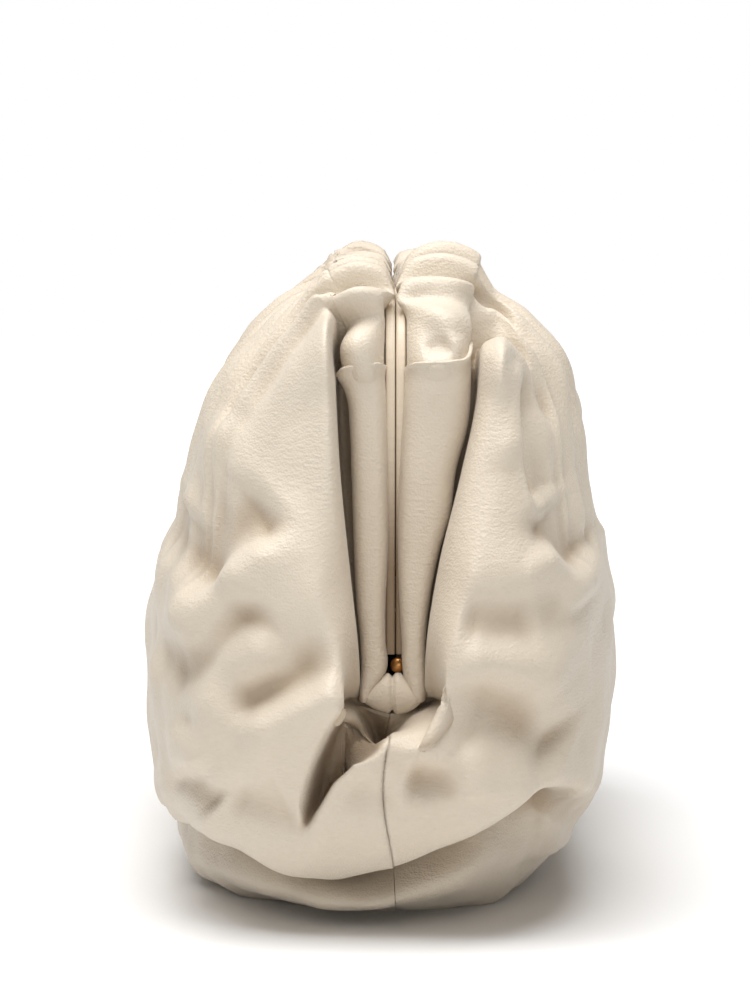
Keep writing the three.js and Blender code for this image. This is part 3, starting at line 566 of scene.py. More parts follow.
def drapes(side, y, z):
    """Soft folds that hang from the gathers and fade out down a long side."""
    chance = np.random.default_rng(5 if side == "left" else 11)
    high = np.zeros(y.shape)
    for k in range(DRAPES):
        start = HALF_LENGTH * (1.6 * (k + chance.uniform(0.2, 0.8)) / DRAPES - 0.8)
        lean = chance.uniform(-0.35, 0.35)
        long = chance.uniform(0.35, 0.8) * HEIGHT
        wide = DRAPE_WIDE * chance.uniform(0.7, 1.6)
        size = DRAPE_HIGH * chance.uniform(0.5, 1.1)
        down = (0.9 * HEIGHT - z) / long
        wander = lean * down * long + 0.06 * HALF_LENGTH * np.sin(2.5 * down + k)
        ridge = np.exp(-(((y - start - wander) / (wide * (1 + 0.9 * np.clip(down, 0, 1)))) ** 2))
        high = high + size * (ridge - 0.35) * ease(down / 0.15 + 0.3) * (1 - ease(down))
    return high


# Slow unevenness of soft leather: how many waves, their lengths and the height of each
WAVES = 18
WAVE_SHORT = 16
WAVE_LONG = 46
WAVE_HIGH = 0.22


def unevenness(points):
    """Height of the slow waves at points, in millimetres."""
    chance = np.random.default_rng(3)
    high = np.zeros(points.shape[:-1])
    for k in range(WAVES):
        way = chance.normal(size=3)
        way /= np.linalg.norm(way)
        long = chance.uniform(WAVE_SHORT, WAVE_LONG)
        bend = 1.5 * np.sin(points @ chance.normal(size=3) / 60 + k)
        turn = 2 * math.pi * (points @ way) / long + bend + k
        high = high + WAVE_HIGH * long / WAVE_LONG * 1.6 * np.sin(turn)
    return high


# The end seam: its bend to one side on the belly, at SEAM_HIGH, the groove along it, and how near the two
# panels come to each other there
SEAM_BEND = -4.3
SEAM_HIGH = 52
SEAM_TALL = 22
SEAM_BEND_WIDE = 30
GROOVE = 0.7
GROOVE_WIDE = 1.6
SEAM_CLEAR = 0.03


def grid_normals(points):
    """Normals of a grid, along times down."""
    normal = np.cross(np.gradient(points, axis=0), np.gradient(points, axis=1))
    return normal / (np.linalg.norm(normal, axis=-1, keepdims=True) + 1e-9)


# The panel's grid, and the row of the profile that it starts from beside the legs, under the sleeves
START_ROW = 4.4
STATIONS = 361
ROWS = 209


def station_places():
    """Distances on the frame's path, closer together at the ends, most of all at the near one."""
    share = np.linspace(0, 1, 2001)
    weight = 1 + 1.7 * ease((0.36 - share) / 0.16) + 0.4 * ease((share - 0.7) / 0.2)
    total = np.concatenate([[0], np.cumsum((weight[1:] + weight[:-1]) / 2)])
    return np.interp(np.linspace(0, 1, STATIONS), total / total[-1], share) * PATH


def row_places():
    """Rows down the panel as places on the profile, closer together where it turns."""
    marks = [0, 2, 4, 6, 8, 9, 10, 11, 12, 13, 14, 15, 16, 17, 18, 20]
    counts = [8, 12, 14, 16, 22, 26, 30, 30, 28, 26, 18, 16, 12, 6, 6]
    share = np.concatenate([[0], np.cumsum(counts)]) / sum(counts)
    return np.interp(np.linspace(0, 1, ROWS), share, marks)


def calm(points, share, turns):
    """Points drawn towards the mean of their neighbours, as much as the share says, a number of times."""
    for turn in range(turns):
        padded = np.pad(points, ((1, 1), (1, 1), (0, 0)), mode="edge")
        mean = (padded[2:, 1:-1] + padded[:-2, 1:-1] + padded[1:-1, 2:] + padded[1:-1, :-2]) / 4
        points = lerp(points, mean, share[..., None])
    return points


# Where the folds are pressed in. In millimetres from the seam: how far they go straight back, and over how
# far they turn square to the leather; from the bag's middle: where they start, and over how far they grow.
# The top folds start further out. In rows down the panel: where they start, and over how many they grow.
# SMOOTH_TURNS is how often the panel is smoothed to find the way that is square to it.
SMOOTH_TURNS = 12
STRAIGHT_BACK = 12
TURN_SQUARE = 25
FOLDS_START = 20
FOLDS_GROW = 60
TOP_FOLDS_START = 105
TOP_FOLDS_GROW = 25
FOLDS_ROW = 8.1
FOLDS_ROWS = 1.3


def press_folds(side, points, normal, row):
    """The panel with the folds of both ends pressed into it."""
    sign = SIDE[side]
    x, y, z = (points[..., k] for k in range(3))
    sideways = ease((np.abs(x) - STRAIGHT_BACK) / TURN_SQUARE)[..., None]
    shift = np.zeros(points.shape)
    for end in (-1, 1):
        high = 0
        for fold in FOLDS:
            if np.sign(fold[4][0][0]) == -end * sign:
                high = high + fold_height(fold, -end * x, z)
        near = ease((end * y - FOLDS_START) / FOLDS_GROW) * ease((row - FOLDS_ROW) / FOLDS_ROWS)
        way = lerp(np.array([0, end, 0]), -sign * normal, sideways)
        shift = shift + way * (high * near)[..., None]
        if sign == -end:
            high = sum(fold_height(fold, -end * x, z) for fold in TOP_FOLDS)
            outermost = ease((end * y - TOP_FOLDS_START) / TOP_FOLDS_GROW)
            shift[..., 1] = shift[..., 1] + end * high * outermost * ease((row - 0.5) / 1)
    return points + shift


def open_recess(points, row):
    """The panel pushed back and let down in the recess under each hinge, and smoothed round it."""
    for end in (-1, 1):
        back, sag = recess(-end * points[..., 0], points[..., 2])
        start = CREST_ROW + 0.8 * ease((np.abs(points[..., 0]) - 9) / 5)
        near = ease((end * points[..., 1] - 120) / 30) * ease((row - start) / 0.6)
        points[..., 1] = points[..., 1] - end * RECESS_DEEP * back * near
        points[..., 2] = points[..., 2] - RECESS_SAG * sag * near
    x, y, z = (points[..., k] for k in range(3))
    foot = ease((row - 7.5) / 1) * ease((np.abs(y) - 110) / 20) * ease((z - 25) / 10) * ease((104 - z) / 14)
    return calm(points, foot * ease((45 - np.abs(x)) / 10) * ease((np.abs(x) - 1) / 3), RECESS_TURNS)


def panel_surface(side):
    """The panel's outer face: stations from the near seam to the far one, by rows from the roll down."""
    sign = SIDE[side]
    distance = station_places()
    leg = frame_place(distance)["leg"]
    first = START_ROW * (1 - ease((leg - HEM + 0.72) / 0.2))
    row = np.broadcast_to(row_places(), (STATIONS, ROWS))
    moved = first[:, None] + (CREST_ROW - first[:, None]) * row / CREST_ROW
    points = down_profile(profile(side, distance), np.where(row < CREST_ROW, moved, row))
    normal = grid_normals(calm(points, np.ones(points.shape[:-1]), SMOOTH_TURNS))
    points = press_folds(side, points, normal, row)
    lobe = ease((row - CREST_ROW) / 2)
    points = points - sign * normal * (lobe * unevenness(points))[..., None]
    points = open_recess(points, row)
    x, y, z = (points[..., k] for k in range(3))
    groove = GROOVE * np.exp(-((x / GROOVE_WIDE) ** 2)) * ease((row - 9) / 1.5) * ease(np.abs(y) / 60)
    points[..., 1] = y - np.sign(y) * groove
    bend = SEAM_BEND * np.exp(-(((z - SEAM_HIGH) / SEAM_TALL) ** 2)) * np.exp(-((x / SEAM_BEND_WIDE) ** 2))
    aside = -np.sign(y) * bend * ease((np.abs(y) - 100) / 40)
    middle = ease((80 - np.abs(points[..., 1])) / 60) * ease((row - CREST_ROW) / 1.5)
    hanging = drapes(side, points[..., 1], points[..., 2]) * middle * ease((14 - row) / 2)
    points = points - sign * normal * hanging[..., None]
    over_bar = ease((leg - FLOW_START) / FLOW_LONG)[:, None] * ease((row - 1) / 0.5)
    clear = lerp(CLEAR / 2, BAR_FACE, opening(leg)[:, None] * (1 - over_bar))
    out = sign * points[..., 0]
    points[..., 0] = sign * np.where(row < CREST_ROW, np.maximum(out, clear), np.maximum(out, SEAM_CLEAR))
    points[..., 0] = points[..., 0] + aside
    points[..., 2] = np.maximum(points[..., 2], 0)
    return points


def hollows(points, sign):
    """How hollow each place of a grid is: 0 on ridges and flats, 1 deep in a fold. It is the share of
    painted shade in the panel's leather.
    """
    normal = -sign * grid_normals(points)
    total = np.zeros(points.shape[:-1])
    for reach in (3, 7, 12):
        padded = np.pad(points, ((reach, reach), (reach, reach), (0, 0)), mode="edge")
        along = padded[2 * reach :, reach:-reach] + padded[: -2 * reach, reach:-reach]
        down = padded[reach:-reach, 2 * reach :] + padded[reach:-reach, : -2 * reach]
        off = (along + down) / 4 - points
        total = total + np.sum(off * normal, -1) / (0.5 * reach)
    return np.clip(total / 2.2, 0, 1)


def in_frame(points):
    """Millimetres from the mouth's plane and the frame's middle, as the frame's metres."""
    return np.asarray(points) * MM + np.array([mouth_x, middle_y, 0])


def make_piece(name, points, faces, material):
    """An object with a smooth mesh of these points and faces."""
    mesh = bpy.data.meshes.new(name)
    mesh.from_pydata(points.tolist(), [], faces)
    mesh.update()
    mesh.polygons.foreach_set("use_smooth", np.ones(len(mesh.polygons), bool))
    mesh.materials.append(material)
    piece = bpy.data.objects.new(name, mesh)
    scene.collection.objects.link(piece)
    return piece


def keep_painted_shade(piece, value):
    """Keeps on the mesh a share of painted shade for each point, which darkens its leather's colour."""
    hollow = piece.data.attributes.new("hollow", "FLOAT", "POINT")
    hollow.data.foreach_set("value", value.astype(np.float32))


def close_mesh(piece):
    """Merges doubled points, so that poles and seams are closed, and turns the faces outwards."""
    mesh = bmesh.new()
    mesh.from_mesh(piece.data)
    bmesh.ops.remove_doubles(mesh, verts=mesh.verts, dist=1e-6)
    bmesh.ops.recalc_face_normals(mesh, faces=mesh.faces)
    mesh.to_mesh(piece.data)
    mesh.free()


def shell_faces(stations, rows, flip):
    """Faces of a closed shell: a fine outer grid, an inner grid of every second point, and the edge."""
    inner_rows = (rows + 1) // 2
    start = stations * rows
    i, j = np.meshgrid(np.arange(stations - 1), np.arange(rows - 1), indexing="ij")
    a = i * rows + j
    faces = np.stack([a, a + rows, a + rows + 1, a + 1], -1).reshape(-1, 4)
    i, j = np.meshgrid(np.arange((stations - 1) // 2), np.arange(inner_rows - 1), indexing="ij")
    a = start + i * inner_rows + j
    inside = np.stack([a, a + 1, a + inner_rows + 1, a + inner_rows], -1).reshape(-1, 4)
    faces = np.concatenate([faces, inside]).tolist()
    top = [i * rows for i in range(stations)]
    right = [(stations - 1) * rows + j for j in range(1, rows)]
    bottom = [i * rows + rows - 1 for i in range(stations - 2, -1, -1)]
    left = [j for j in range(rows - 2, -1, -1)]
    edge = top + right + bottom + left
    for k in range(0, len(edge) - 2, 2):
        a, b, c = edge[k : k + 3]
        inner_a, inner_c = (start + (p // rows) // 2 * inner_rows + (p % rows) // 2 for p in (a, c))
        faces += [[b, a, inner_a], [c, b, inner_c], [b, inner_a, inner_c]]
    return [face[::-1] for face in faces] if flip else faces


def principled(material):
    return material.node_tree.nodes["Principled BSDF"]


def grain_group():
    """Shared look of soft leather: fine grain, small creases across it, slow changes of colour, and painted
    shade where the mesh's hollow attribute says.
    """
    tree = bpy.data.node_groups.new("soft_leather", "ShaderNodeTree")
    face = tree.interface
    face.new_socket("Place", in_out="INPUT", socket_type="NodeSocketVector")
    amounts = {"Grain size": 0.0008, "Grain depth": 0.00016, "Crease depth": 0.0005, "Hollow": 0}
    for name, value in amounts.items():
        face.new_socket(name, in_out="INPUT", socket_type="NodeSocketFloat").default_value = value
    face.new_socket("Light colour", in_out="INPUT", socket_type="NodeSocketColor")
    face.new_socket("Deep colour", in_out="INPUT", socket_type="NodeSocketColor")
    face.new_socket("Colour", in_out="OUTPUT", socket_type="NodeSocketColor")
    face.new_socket("Roughness", in_out="OUTPUT", socket_type="NodeSocketFloat")
    face.new_socket("Normal", in_out="OUTPUT", socket_type="NodeSocketVector")
    nodes, links = tree.nodes, tree.links
    given = nodes.new("NodeGroupInput")
    made = nodes.new("NodeGroupOutput")

    def math_node(kind, first, second):
        node = nodes.new("ShaderNodeMath")
        node.operation = kind
        for socket, value in zip(node.inputs, (first, second)):
            if isinstance(value, (int, float)):
                socket.default_value = value
            else:
                links.new(value, socket)
        return node.outputs[0]

    def noise(place, scale, detail):
        node = nodes.new("ShaderNodeTexNoise")
        links.new(place, node.inputs["Vector"])
        node.inputs["Scale"].default_value = scale
        node.inputs["Detail"].default_value = detail
        return node.outputs["Fac"]

    size = math_node("DIVIDE", 1.0, given.outputs["Grain size"])
    cells = nodes.new("ShaderNodeTexVoronoi")
    cells.feature = "SMOOTH_F1"
    links.new(given.outputs["Place"], cells.inputs["Vector"])
    links.new(size, cells.inputs["Scale"])
    cells.inputs["Smoothness"].default_value = 0.35
    grain_height = math_node("MULTIPLY", cells.outputs["Distance"], given.outputs["Grain depth"])
    flat = nodes.new("ShaderNodeMapping")
    flat.inputs["Scale"].default_value = (1, 1, 2.7)
    links.new(given.outputs["Place"], flat.inputs["Vector"])
    creases = noise(flat.outputs["Vector"], 330, 3.0)
    patches = noise(given.outputs["Place"], 24, 1.0)
    sharp = math_node("POWER", creases, 1.6)
    patchy = math_node("MULTIPLY", sharp, patches)
    crease_height = math_node("MULTIPLY", patchy, given.outputs["Crease depth"])
    soft = noise(given.outputs["Place"], 90, 2.0)
    soft_height = math_node("MULTIPLY", soft, 0.00025)
    height = math_node("ADD", math_node("ADD", grain_height, crease_height), soft_height)
    bump = nodes.new("ShaderNodeBump")
    bump.inputs["Distance"].default_value = 1.0
    bump.inputs["Strength"].default_value = 1.0
    links.new(height, bump.inputs["Height"])
    links.new(bump.outputs["Normal"], made.inputs["Normal"])
    slow = noise(given.outputs["Place"], 13, 3.0)
    uneven = math_node("MULTIPLY", math_node("SUBTRACT", slow, 0.35), 0.5)
    pores = math_node("MULTIPLY", math_node("SUBTRACT", 0.55, creases), 0.22)
    # The leather's own uneven tone and grain, and the painted shade from the mesh, draw the colour towards
    # the deep colour.
    deep = math_node("ADD", math_node("ADD", uneven, pores), given.outputs["Hollow"])
    share = nodes.new("ShaderNodeClamp")
    links.new(deep, share.inputs["Value"])
    mix = nodes.new("ShaderNodeMix")
    mix.data_type = "RGBA"
    links.new(share.outputs["Result"], mix.inputs["Factor"])
    links.new(given.outputs["Light colour"], mix.inputs["A"])
    links.new(given.outputs["Deep colour"], mix.inputs["B"])
    links.new(mix.outputs["Result"], made.inputs["Colour"])
    rough = math_node("ADD", math_node("MULTIPLY", patches, 0.2), 0.4)
    links.new(rough, made.inputs["Roughness"])
    return tree


def leather_material(name, light, deep, values):
    """A leather with its own colours and grain, from the shared group."""
    material = bpy.data.materials.new(name)
    material.use_nodes = True
    nodes, links = material.node_tree.nodes, material.node_tree.links
    place = nodes.new("ShaderNodeTexCoord")
    # The hollow attribute carries the painted shade into the leather's colour.
    hollow = nodes.new("ShaderNodeAttribute")
    hollow.attribute_name = "hollow"
    look = nodes.new("ShaderNodeGroup")
    look.node_tree = soft_leather
    links.new(place.outputs["Object"], look.inputs["Place"])
    links.new(hollow.outputs["Fac"], look.inputs["Hollow"])
    look.inputs["Light colour"].default_value = light
    look.inputs["Deep colour"].default_value = deep
    for key, value in values.items():
        look.inputs[key].default_value = value
    shader = principled(material)
    links.new(look.outputs["Colour"], shader.inputs["Base Color"])
    links.new(look.outputs["Roughness"], shader.inputs["Roughness"])
    links.new(look.outputs["Normal"], shader.inputs["Normal"])
    shader.inputs["Sheen Weight"].default_value = 0.12
    shader.inputs["Sheen Roughness"].default_value = 0.4
    shader.inputs["Specular IOR Level"].default_value = 0.45
    return material


soft_leather = grain_group()
leather = leather_material("leather", (0.66, 0.578, 0.468, 1), (0.44, 0.345, 0.245, 1), {})

for side in ("left", "right"):
    outer = panel_surface(side)
    coarse = outer[::2, ::2]
    inner = coarse + SIDE[side] * WALL * grid_normals(coarse)
    out = np.maximum(SIDE[side] * inner[..., 0], CLEAR / 2)
    inner = np.stack([SIDE[side] * out, inner[..., 1], np.maximum(inner[..., 2], WALL)], -1)
    points = in_frame(np.concatenate([outer.reshape(-1, 3), inner.reshape(-1, 3)]))
    faces = shell_faces(STATIONS, ROWS, side == "right")
    piece = make_piece(f"gathered_panel_{side}", points, faces, leather)
    # Painted shade: the leather is darkened deep in its folds and in the recess under the hinge, where
    # shade falls.
    hollow = hollows(outer, SIDE[side])
    keep_painted_shade(piece, np.concatenate([hollow.ravel(), hollow[::2, ::2].ravel()]))
    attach(piece, "root")
    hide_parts(f"panel_{side}")

# Sleeves over the legs of the frame: a strip of the same leather round each leg, open at the back, with
# its top edge turned over to a soft hem, out of which the gathered leather comes.
# How a sleeve looks from the end: leg; then of ROLL its inner and outer edges and how far its front stands
# before the bar.
SLEEVES = {
    "left": [
        (-0.05, 0.4, 0.42, 0.1),
        (-0.03, 0.38, 0.46, 0.14),
        (0.015, 0.31, 0.48, 0.17),
        (0.08, 0.12, 0.46, 0.18),
        (0.17, 0.13, 0.47, 0.19),
        (0.29, 0.13, 0.52, 0.21),
        (0.44, 0.1, 0.55, 0.22),
        (0.66, 0.1, 0.58, 0.23),
        (0.84, 0.11, 0.61, 0.25),
        (0.92, 0.12, 0.64, 0.27),
        (1.02, 0.13, 0.82, 0.34),
    ],
    "right": [
        (-0.05, 0.3, 0.34, 0.1),
        (-0.03, 0.24, 0.38, 0.14),
        (0.01, 0.18, 0.41, 0.17),
        (0.07, 0.1, 0.41, 0.18),
        (0.17, 0.08, 0.4, 0.2),
        (0.29, 0.05, 0.45, 0.22),
        (0.44, 0.03, 0.57, 0.23),
        (0.57, 0.03, 0.73, 0.24),
        (0.7, 0.05, 0.8, 0.26),
        (0.85, 0.08, 0.96, 0.28),
        (1.02, 0.12, 1.0, 0.36),
    ],
}

# How high the hem is across a sleeve, from its inner to its outer edge. Shares: across, of ROLL the height.
HEMS = {
    "left": [(0, -0.02), (0.3, 0.04), (0.7, -0.04), (1, -0.18)],
    "right": [(0, -0.06), (0.25, 0.03), (0.6, 0.07), (0.85, 0.14), (1, 0.3)],
}

# Where the sleeve's lower edge is, across it. Shares: across, of ROLL the height above the frame's foot.
FEET = {
    "left": [(0, -0.02), (0.5, -0.05), (1, -0.02)],
    "right": [(0, -0.02), (0.5, -0.05), (1, -0.01)],
}
SLEEVE_STEPS = 61
SLEEVE_ROUND = 41
SLEEVE_BACK = 6
HEM_ROLL = 1.3
HEM_TALL = 1.6
HEM_HIGH = 1.03
STITCH_LOW = 4.5
STITCH_TALL = 2.5


def sleeve(side, end):
    """A sleeve's outer face as a grid, from the foot up and round from its inner to its outer edge."""
    up = np.linspace(0, 1, SLEEVE_STEPS)[:, None]
    across = np.linspace(0, 1, SLEEVE_ROUND)[None]
    top = HEM_HIGH + ROLL * read(HEMS[side], 1, across) / LEG
    low = ROLL * read(FEET[side], 1, across) / LEG
    leg = lerp(low, top, up)
    inner, outer, rise = (ROLL * read(SLEEVES[side], k, leg) for k in (1, 2, 3))
    turn = math.pi * across
    bend = np.cos(turn)
    out = (inner + outer) / 2 - (outer - inner) / 2 * np.sign(bend) * np.abs(bend) ** 0.72
    front = (rise + SLEEVE_BACK) * np.sin(turn) ** 0.55 - SLEEVE_BACK
    below = (top - leg) * LEG
    dip = 0.35 * np.exp(-(((below - STITCH_LOW) / STITCH_TALL) ** 2))
    hem = HEM_ROLL * (np.exp(-((below / HEM_TALL) ** 2)) - dip)
    foot = FRAME_FOOT + leg * LEG
    x = SIDE[side] * (out + hem * 0.4 * -bend)
    y = end * (FRAME_HALF_LENGTH + front + hem * np.sin(turn) ** 0.5)
    return np.stack([x, y, foot + 0 * out], -1)


for side in ("left", "right"):
    for end, place in ((-1, "near"), (1, "far")):
        outer = sleeve(side, end)
        flip = SIDE[side] * end > 0
        inward = -WALL if flip else WALL
        inner = outer[::2, ::2] + inward * grid_normals(outer[::2, ::2])
        points = in_frame(np.concatenate([outer.reshape(-1, 3), inner.reshape(-1, 3)]))
        faces = shell_faces(SLEEVE_STEPS, SLEEVE_ROUND, flip)
        piece = make_piece(f"sleeve_{side}_{place}", points, faces, leather)
        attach(piece, "root")
        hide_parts(f"leg_cover_{side}_{place}")

# Frame bars: a steel bar on each side, bent to an upside-down U and covered with thin leather drawn tight.
# The two meet all along the mouth. Each is a rounded strip swept along the frame's path. It sinks a little
# towards its feet, and there painted shade darkens its leather, in shares of the leg: it starts at the
# first of the last two numbers below and is full the last one further down.
BAR_ROUND = 0.9
BAR_SUNK = 4
BAR_CLEAN = 0.95
BAR_SOILED = 0.75


def sweep_tree():
    """Nodes that sweep a rounded strip along a curve."""
    tree = bpy.data.node_groups.new("covered_bar", "GeometryNodeTree")
    tree.interface.new_socket("Path", in_out="INPUT", socket_type="NodeSocketGeometry")
    for name in ("Thickness", "Width", "Rounding"):
        tree.interface.new_socket(name, in_out="INPUT", socket_type="NodeSocketFloat")
    tree.interface.new_socket("Leather", in_out="INPUT", socket_type="NodeSocketMaterial")
    tree.interface.new_socket("Bar", in_out="OUTPUT", socket_type="NodeSocketGeometry")
    nodes, links = tree.nodes, tree.links
    given = nodes.new("NodeGroupInput")
    strip = nodes.new("GeometryNodeCurvePrimitiveQuadrilateral")
    links.new(given.outputs["Thickness"], strip.inputs["Width"])
    links.new(given.outputs["Width"], strip.inputs["Height"])
    corners = nodes.new("GeometryNodeFilletCurve")
    corners.mode = "POLY"
    corners.inputs["Count"].default_value = 4
    links.new(given.outputs["Rounding"], corners.inputs["Radius"])
    links.new(strip.outputs["Curve"], corners.inputs["Curve"])
    sweep = nodes.new("GeometryNodeCurveToMesh")
    sweep.inputs["Fill Caps"].default_value = True
    path = nodes.new("GeometryNodeMeshToCurve")
    links.new(given.outputs["Path"], path.inputs["Mesh"])
    links.new(path.outputs["Curve"], sweep.inputs["Curve"])
    links.new(corners.outputs["Curve"], sweep.inputs["Profile Curve"])
    real = nodes.new("GeometryNodeRealizeInstances")
    links.new(sweep.outputs["Mesh"], real.inputs["Geometry"])
    cover = nodes.new("GeometryNodeSetMaterial")
    links.new(real.outputs["Geometry"], cover.inputs["Geometry"])
    links.new(given.outputs["Leather"], cover.inputs["Material"])
    made = nodes.new("NodeGroupOutput")
    links.new(cover.outputs["Geometry"], made.inputs["Bar"])
    return tree


def run_nodes(piece, tree, values):
    """The piece's mesh after the tree, with these inputs, as a plain mesh on a new object."""
    modifier = piece.modifiers.new("make", "NODES")
    modifier.node_group = tree
    for item in tree.interface.items_tree:
        if item.name in values:
            modifier[item.identifier] = values[item.name]
    piece.update_tag()
    bpy.context.view_layer.update()
    result = piece.evaluated_get(bpy.context.evaluated_depsgraph_get())
    mesh = bpy.data.meshes.new_from_object(result)
    piece.modifiers.clear()
    return mesh


bar_tree = sweep_tree()
# Its deep colour serves the leather's own uneven tone and the painted shade low on the bars.
frame_leather = leather_material(
    "frame_leather",
    (0.76, 0.65, 0.51, 1),
    (0.3, 0.21, 0.13, 1),
    {"Grain size": 0.0007, "Grain depth": 0.00005, "Crease depth": 0.0001},
)
for side in ("left", "right"):
    low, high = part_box(f"frame_{side}")
    start = low.z / MM - FRAME_FOOT + TOE
    distance = np.concatenate([
        np.linspace(start, TOE + LEG, 30),
        np.linspace(TOE + LEG, TOE + LEG + ARC, 20)[1:],
        np.linspace(TOE + LEG + ARC, PATH / 2, 20)[1:],
    ])
    distance = np.concatenate([distance, PATH - distance[-2::-1]])
    place = frame_place(distance)
    sunk = BAR_SUNK * ease((HEM - place["leg"]) / 0.9)
    inset = BAR_WIDE / 2 + sunk
    path = np.stack([
        0 * distance + SIDE[side] * (CLEAR / 2 + BAR_THICK / 2),
        place["y"] - place["out_y"] * inset,
        place["z"] - place["out_z"] * inset,
    ], -1)
    line = bpy.data.meshes.new(f"bar_path_{side}")
    line.from_pydata(in_frame(path).tolist(), [(k, k + 1) for k in range(len(path) - 1)], [])
    carrier = bpy.data.objects.new(f"bar_path_{side}", line)
    scene.collection.objects.link(carrier)
    values = {
        "Width": BAR_WIDE * MM,
        "Thickness": BAR_THICK * MM,
        "Rounding": BAR_ROUND * MM,
        "Leather": frame_leather,
    }
    bar = bpy.data.objects.new(f"covered_bar_{side}", run_nodes(carrier, bar_tree, values))
    scene.collection.objects.link(bar)
    bpy.data.objects.remove(carrier)
    bar.data.polygons.foreach_set("use_smooth", np.ones(len(bar.data.polygons), bool))
    up = np.array([corner.co.z for corner in bar.data.vertices]) / MM
    # Painted shade: the bar's leather is darkened towards its feet, down in the shaded channel between the
    # sleeves.
    keep_painted_shade(bar, ease((FRAME_FOOT + BAR_CLEAN * LEG - up) / (BAR_SOILED * LEG)))
    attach(bar, "root")
    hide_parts(f"frame_{side}")

# Hinge: a brass rivet with a domed head through the feet of both bars at each end, and under it a small
# padded tab of leather, pointed at the sides and sewn down its middle. The rivet's head is a share of the
# solid pin's width, and its shank and dome are shares of the head.
RIVET_STEPS = 48
RIVET_HEAD = 0.4
RIVET_SHANK = 0.75
RIVET_DOME = 0.6
RIVET_ASIDE = 0.8
RIVET_SUNK = 2.5
DOME_STEPS = 12

brass = bpy.data.materials.new("brass")
brass.use_nodes = True
principled(brass).inputs["Base Color"].default_value = (0.3, 0.14, 0.045, 1)
principled(brass).inputs["Metallic"].default_value = 1
brass_nodes, brass_links = brass.node_tree.nodes, brass.node_tree.links
brass_place = brass_nodes.new("ShaderNodeTexCoord")
tarnish = brass_nodes.new("ShaderNodeTexNoise")
tarnish.inputs["Scale"].default_value = 700
tarnish.inputs["Detail"].default_value = 3
brass_links.new(brass_place.outputs["Object"], tarnish.inputs["Vector"])
dullness = brass_nodes.new("ShaderNodeMapRange")
dullness.inputs["To Min"].default_value = 0.2
dullness.inputs["To Max"].default_value = 0.42
brass_links.new(tarnish.outputs["Fac"], dullness.inputs["Value"])
brass_links.new(dullness.outputs["Result"], principled(brass).inputs["Roughness"])
for end, place in ((-1, "near"), (1, "far")):
    low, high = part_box(f"hinge_pin_{place}")
    centre = (low + high) / 2
    head = RIVET_HEAD * (high.x - low.x)
    centre.x += RIVET_ASIDE * MM
    shank = RIVET_SHANK * head
    front = (high.y if end > 0 else low.y) - end * RIVET_SUNK * MM
    back = low.y if end > 0 else high.y
    rim = front - end * RIVET_DOME * head
    outline = [(0, back), (shank, back), (shank, rim - end * MM), (head, rim - end * MM)]
    for k in range(DOME_STEPS + 1):
        turn = math.pi / 2 * k / DOME_STEPS
        outline.append((head * math.cos(turn), rim + end * RIVET_DOME * head * math.sin(turn)))
    rings = []
    for k in range(RIVET_STEPS):
        turn = 2 * math.pi * k / RIVET_STEPS
        right, up = math.cos(turn), math.sin(turn)
        rings.append([(centre.x + r * right, y, centre.z + r * up) for r, y in outline])
    points = np.array(rings).reshape(-1, 3)
    count = len(outline)
    faces = []
    for k in range(RIVET_STEPS):
        for j in range(count - 1):
            a = k * count + j
            b = (k + 1) % RIVET_STEPS * count + j
            faces.append([a, b, b + 1, a + 1])
    rivet = make_piece(f"hinge_rivet_{place}", points, faces, brass)
    close_mesh(rivet)
    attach(rivet, "root")
    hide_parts(f"hinge_pin_{place}")

# Outline of a tab as seen from its end, in shares of half its width and height: across, top, bottom
TAB = [
    (-1.0, -0.24, -0.28),
    (-0.82, 0.2, -0.48),
    (-0.58, 0.6, -0.72),
    (-0.28, 0.9, -0.91),
    (0.0, 0.97, -1.0),
    (0.25, 0.95, -1.0),
    (0.5, 0.6, -0.9),
    (0.74, 0.2, -0.67),
    (1.0, -0.2, -0.24),
]
TAB_HALF_WIDE = 11
TAB_HALF_HIGH = 6.9
TAB_SHIFT = -1.1
TAB_SEAM_DEEP = 0.2
TAB_SEAM_WIDE = 0.06
TAB_STEPS = 65
TAB_ROUND = 64
for end, place in ((-1, "near"), (1, "far")):
    low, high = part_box(f"hinge_cap_{place}")
    half = Vector((TAB_HALF_WIDE * MM, (high.y - low.y) / 2, TAB_HALF_HIGH * MM))
    centre = (low + high) / 2 + Vector((TAB_SHIFT * MM, 0, 0))
    across = np.sin(np.linspace(-math.pi / 2, math.pi / 2, TAB_STEPS))[:, None] * 0.999
    turn = np.linspace(0, 2 * math.pi, TAB_ROUND, endpoint=False)[None]
    top, bottom = (read(TAB, k, across) for k in (1, 2))
    thick = (1 - across**2) ** 0.3
    seam = 1 - TAB_SEAM_DEEP * np.exp(-((across / TAB_SEAM_WIDE) ** 2))
    z = (top + bottom) / 2 + (top - bottom) / 2 * np.sin(turn) * seam
    y = end * half.y * thick * np.sign(np.cos(turn)) * np.abs(np.cos(turn)) ** 0.8 * seam
    x = across + 0 * turn
    points = np.stack([centre.x + half.x * x, centre.y + y, centre.z + half.z * z], -1).reshape(-1, 3)
    faces = []
    for k in range(TAB_STEPS - 1):
        for j in range(TAB_ROUND):
            a = k * TAB_ROUND + j
            b = k * TAB_ROUND + (j + 1) % TAB_ROUND
            faces.append([a, a + TAB_ROUND, b + TAB_ROUND, b])
    faces.append(list(range(TAB_ROUND)))
    faces.append([(TAB_STEPS - 1) * TAB_ROUND + j for j in range(TAB_ROUND - 1, -1, -1)])
    tab = make_piece(f"hinge_tab_{place}", points, faces, leather)
    close_mesh(tab)
    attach(tab, "root")
    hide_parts(f"hinge_cap_{place}")

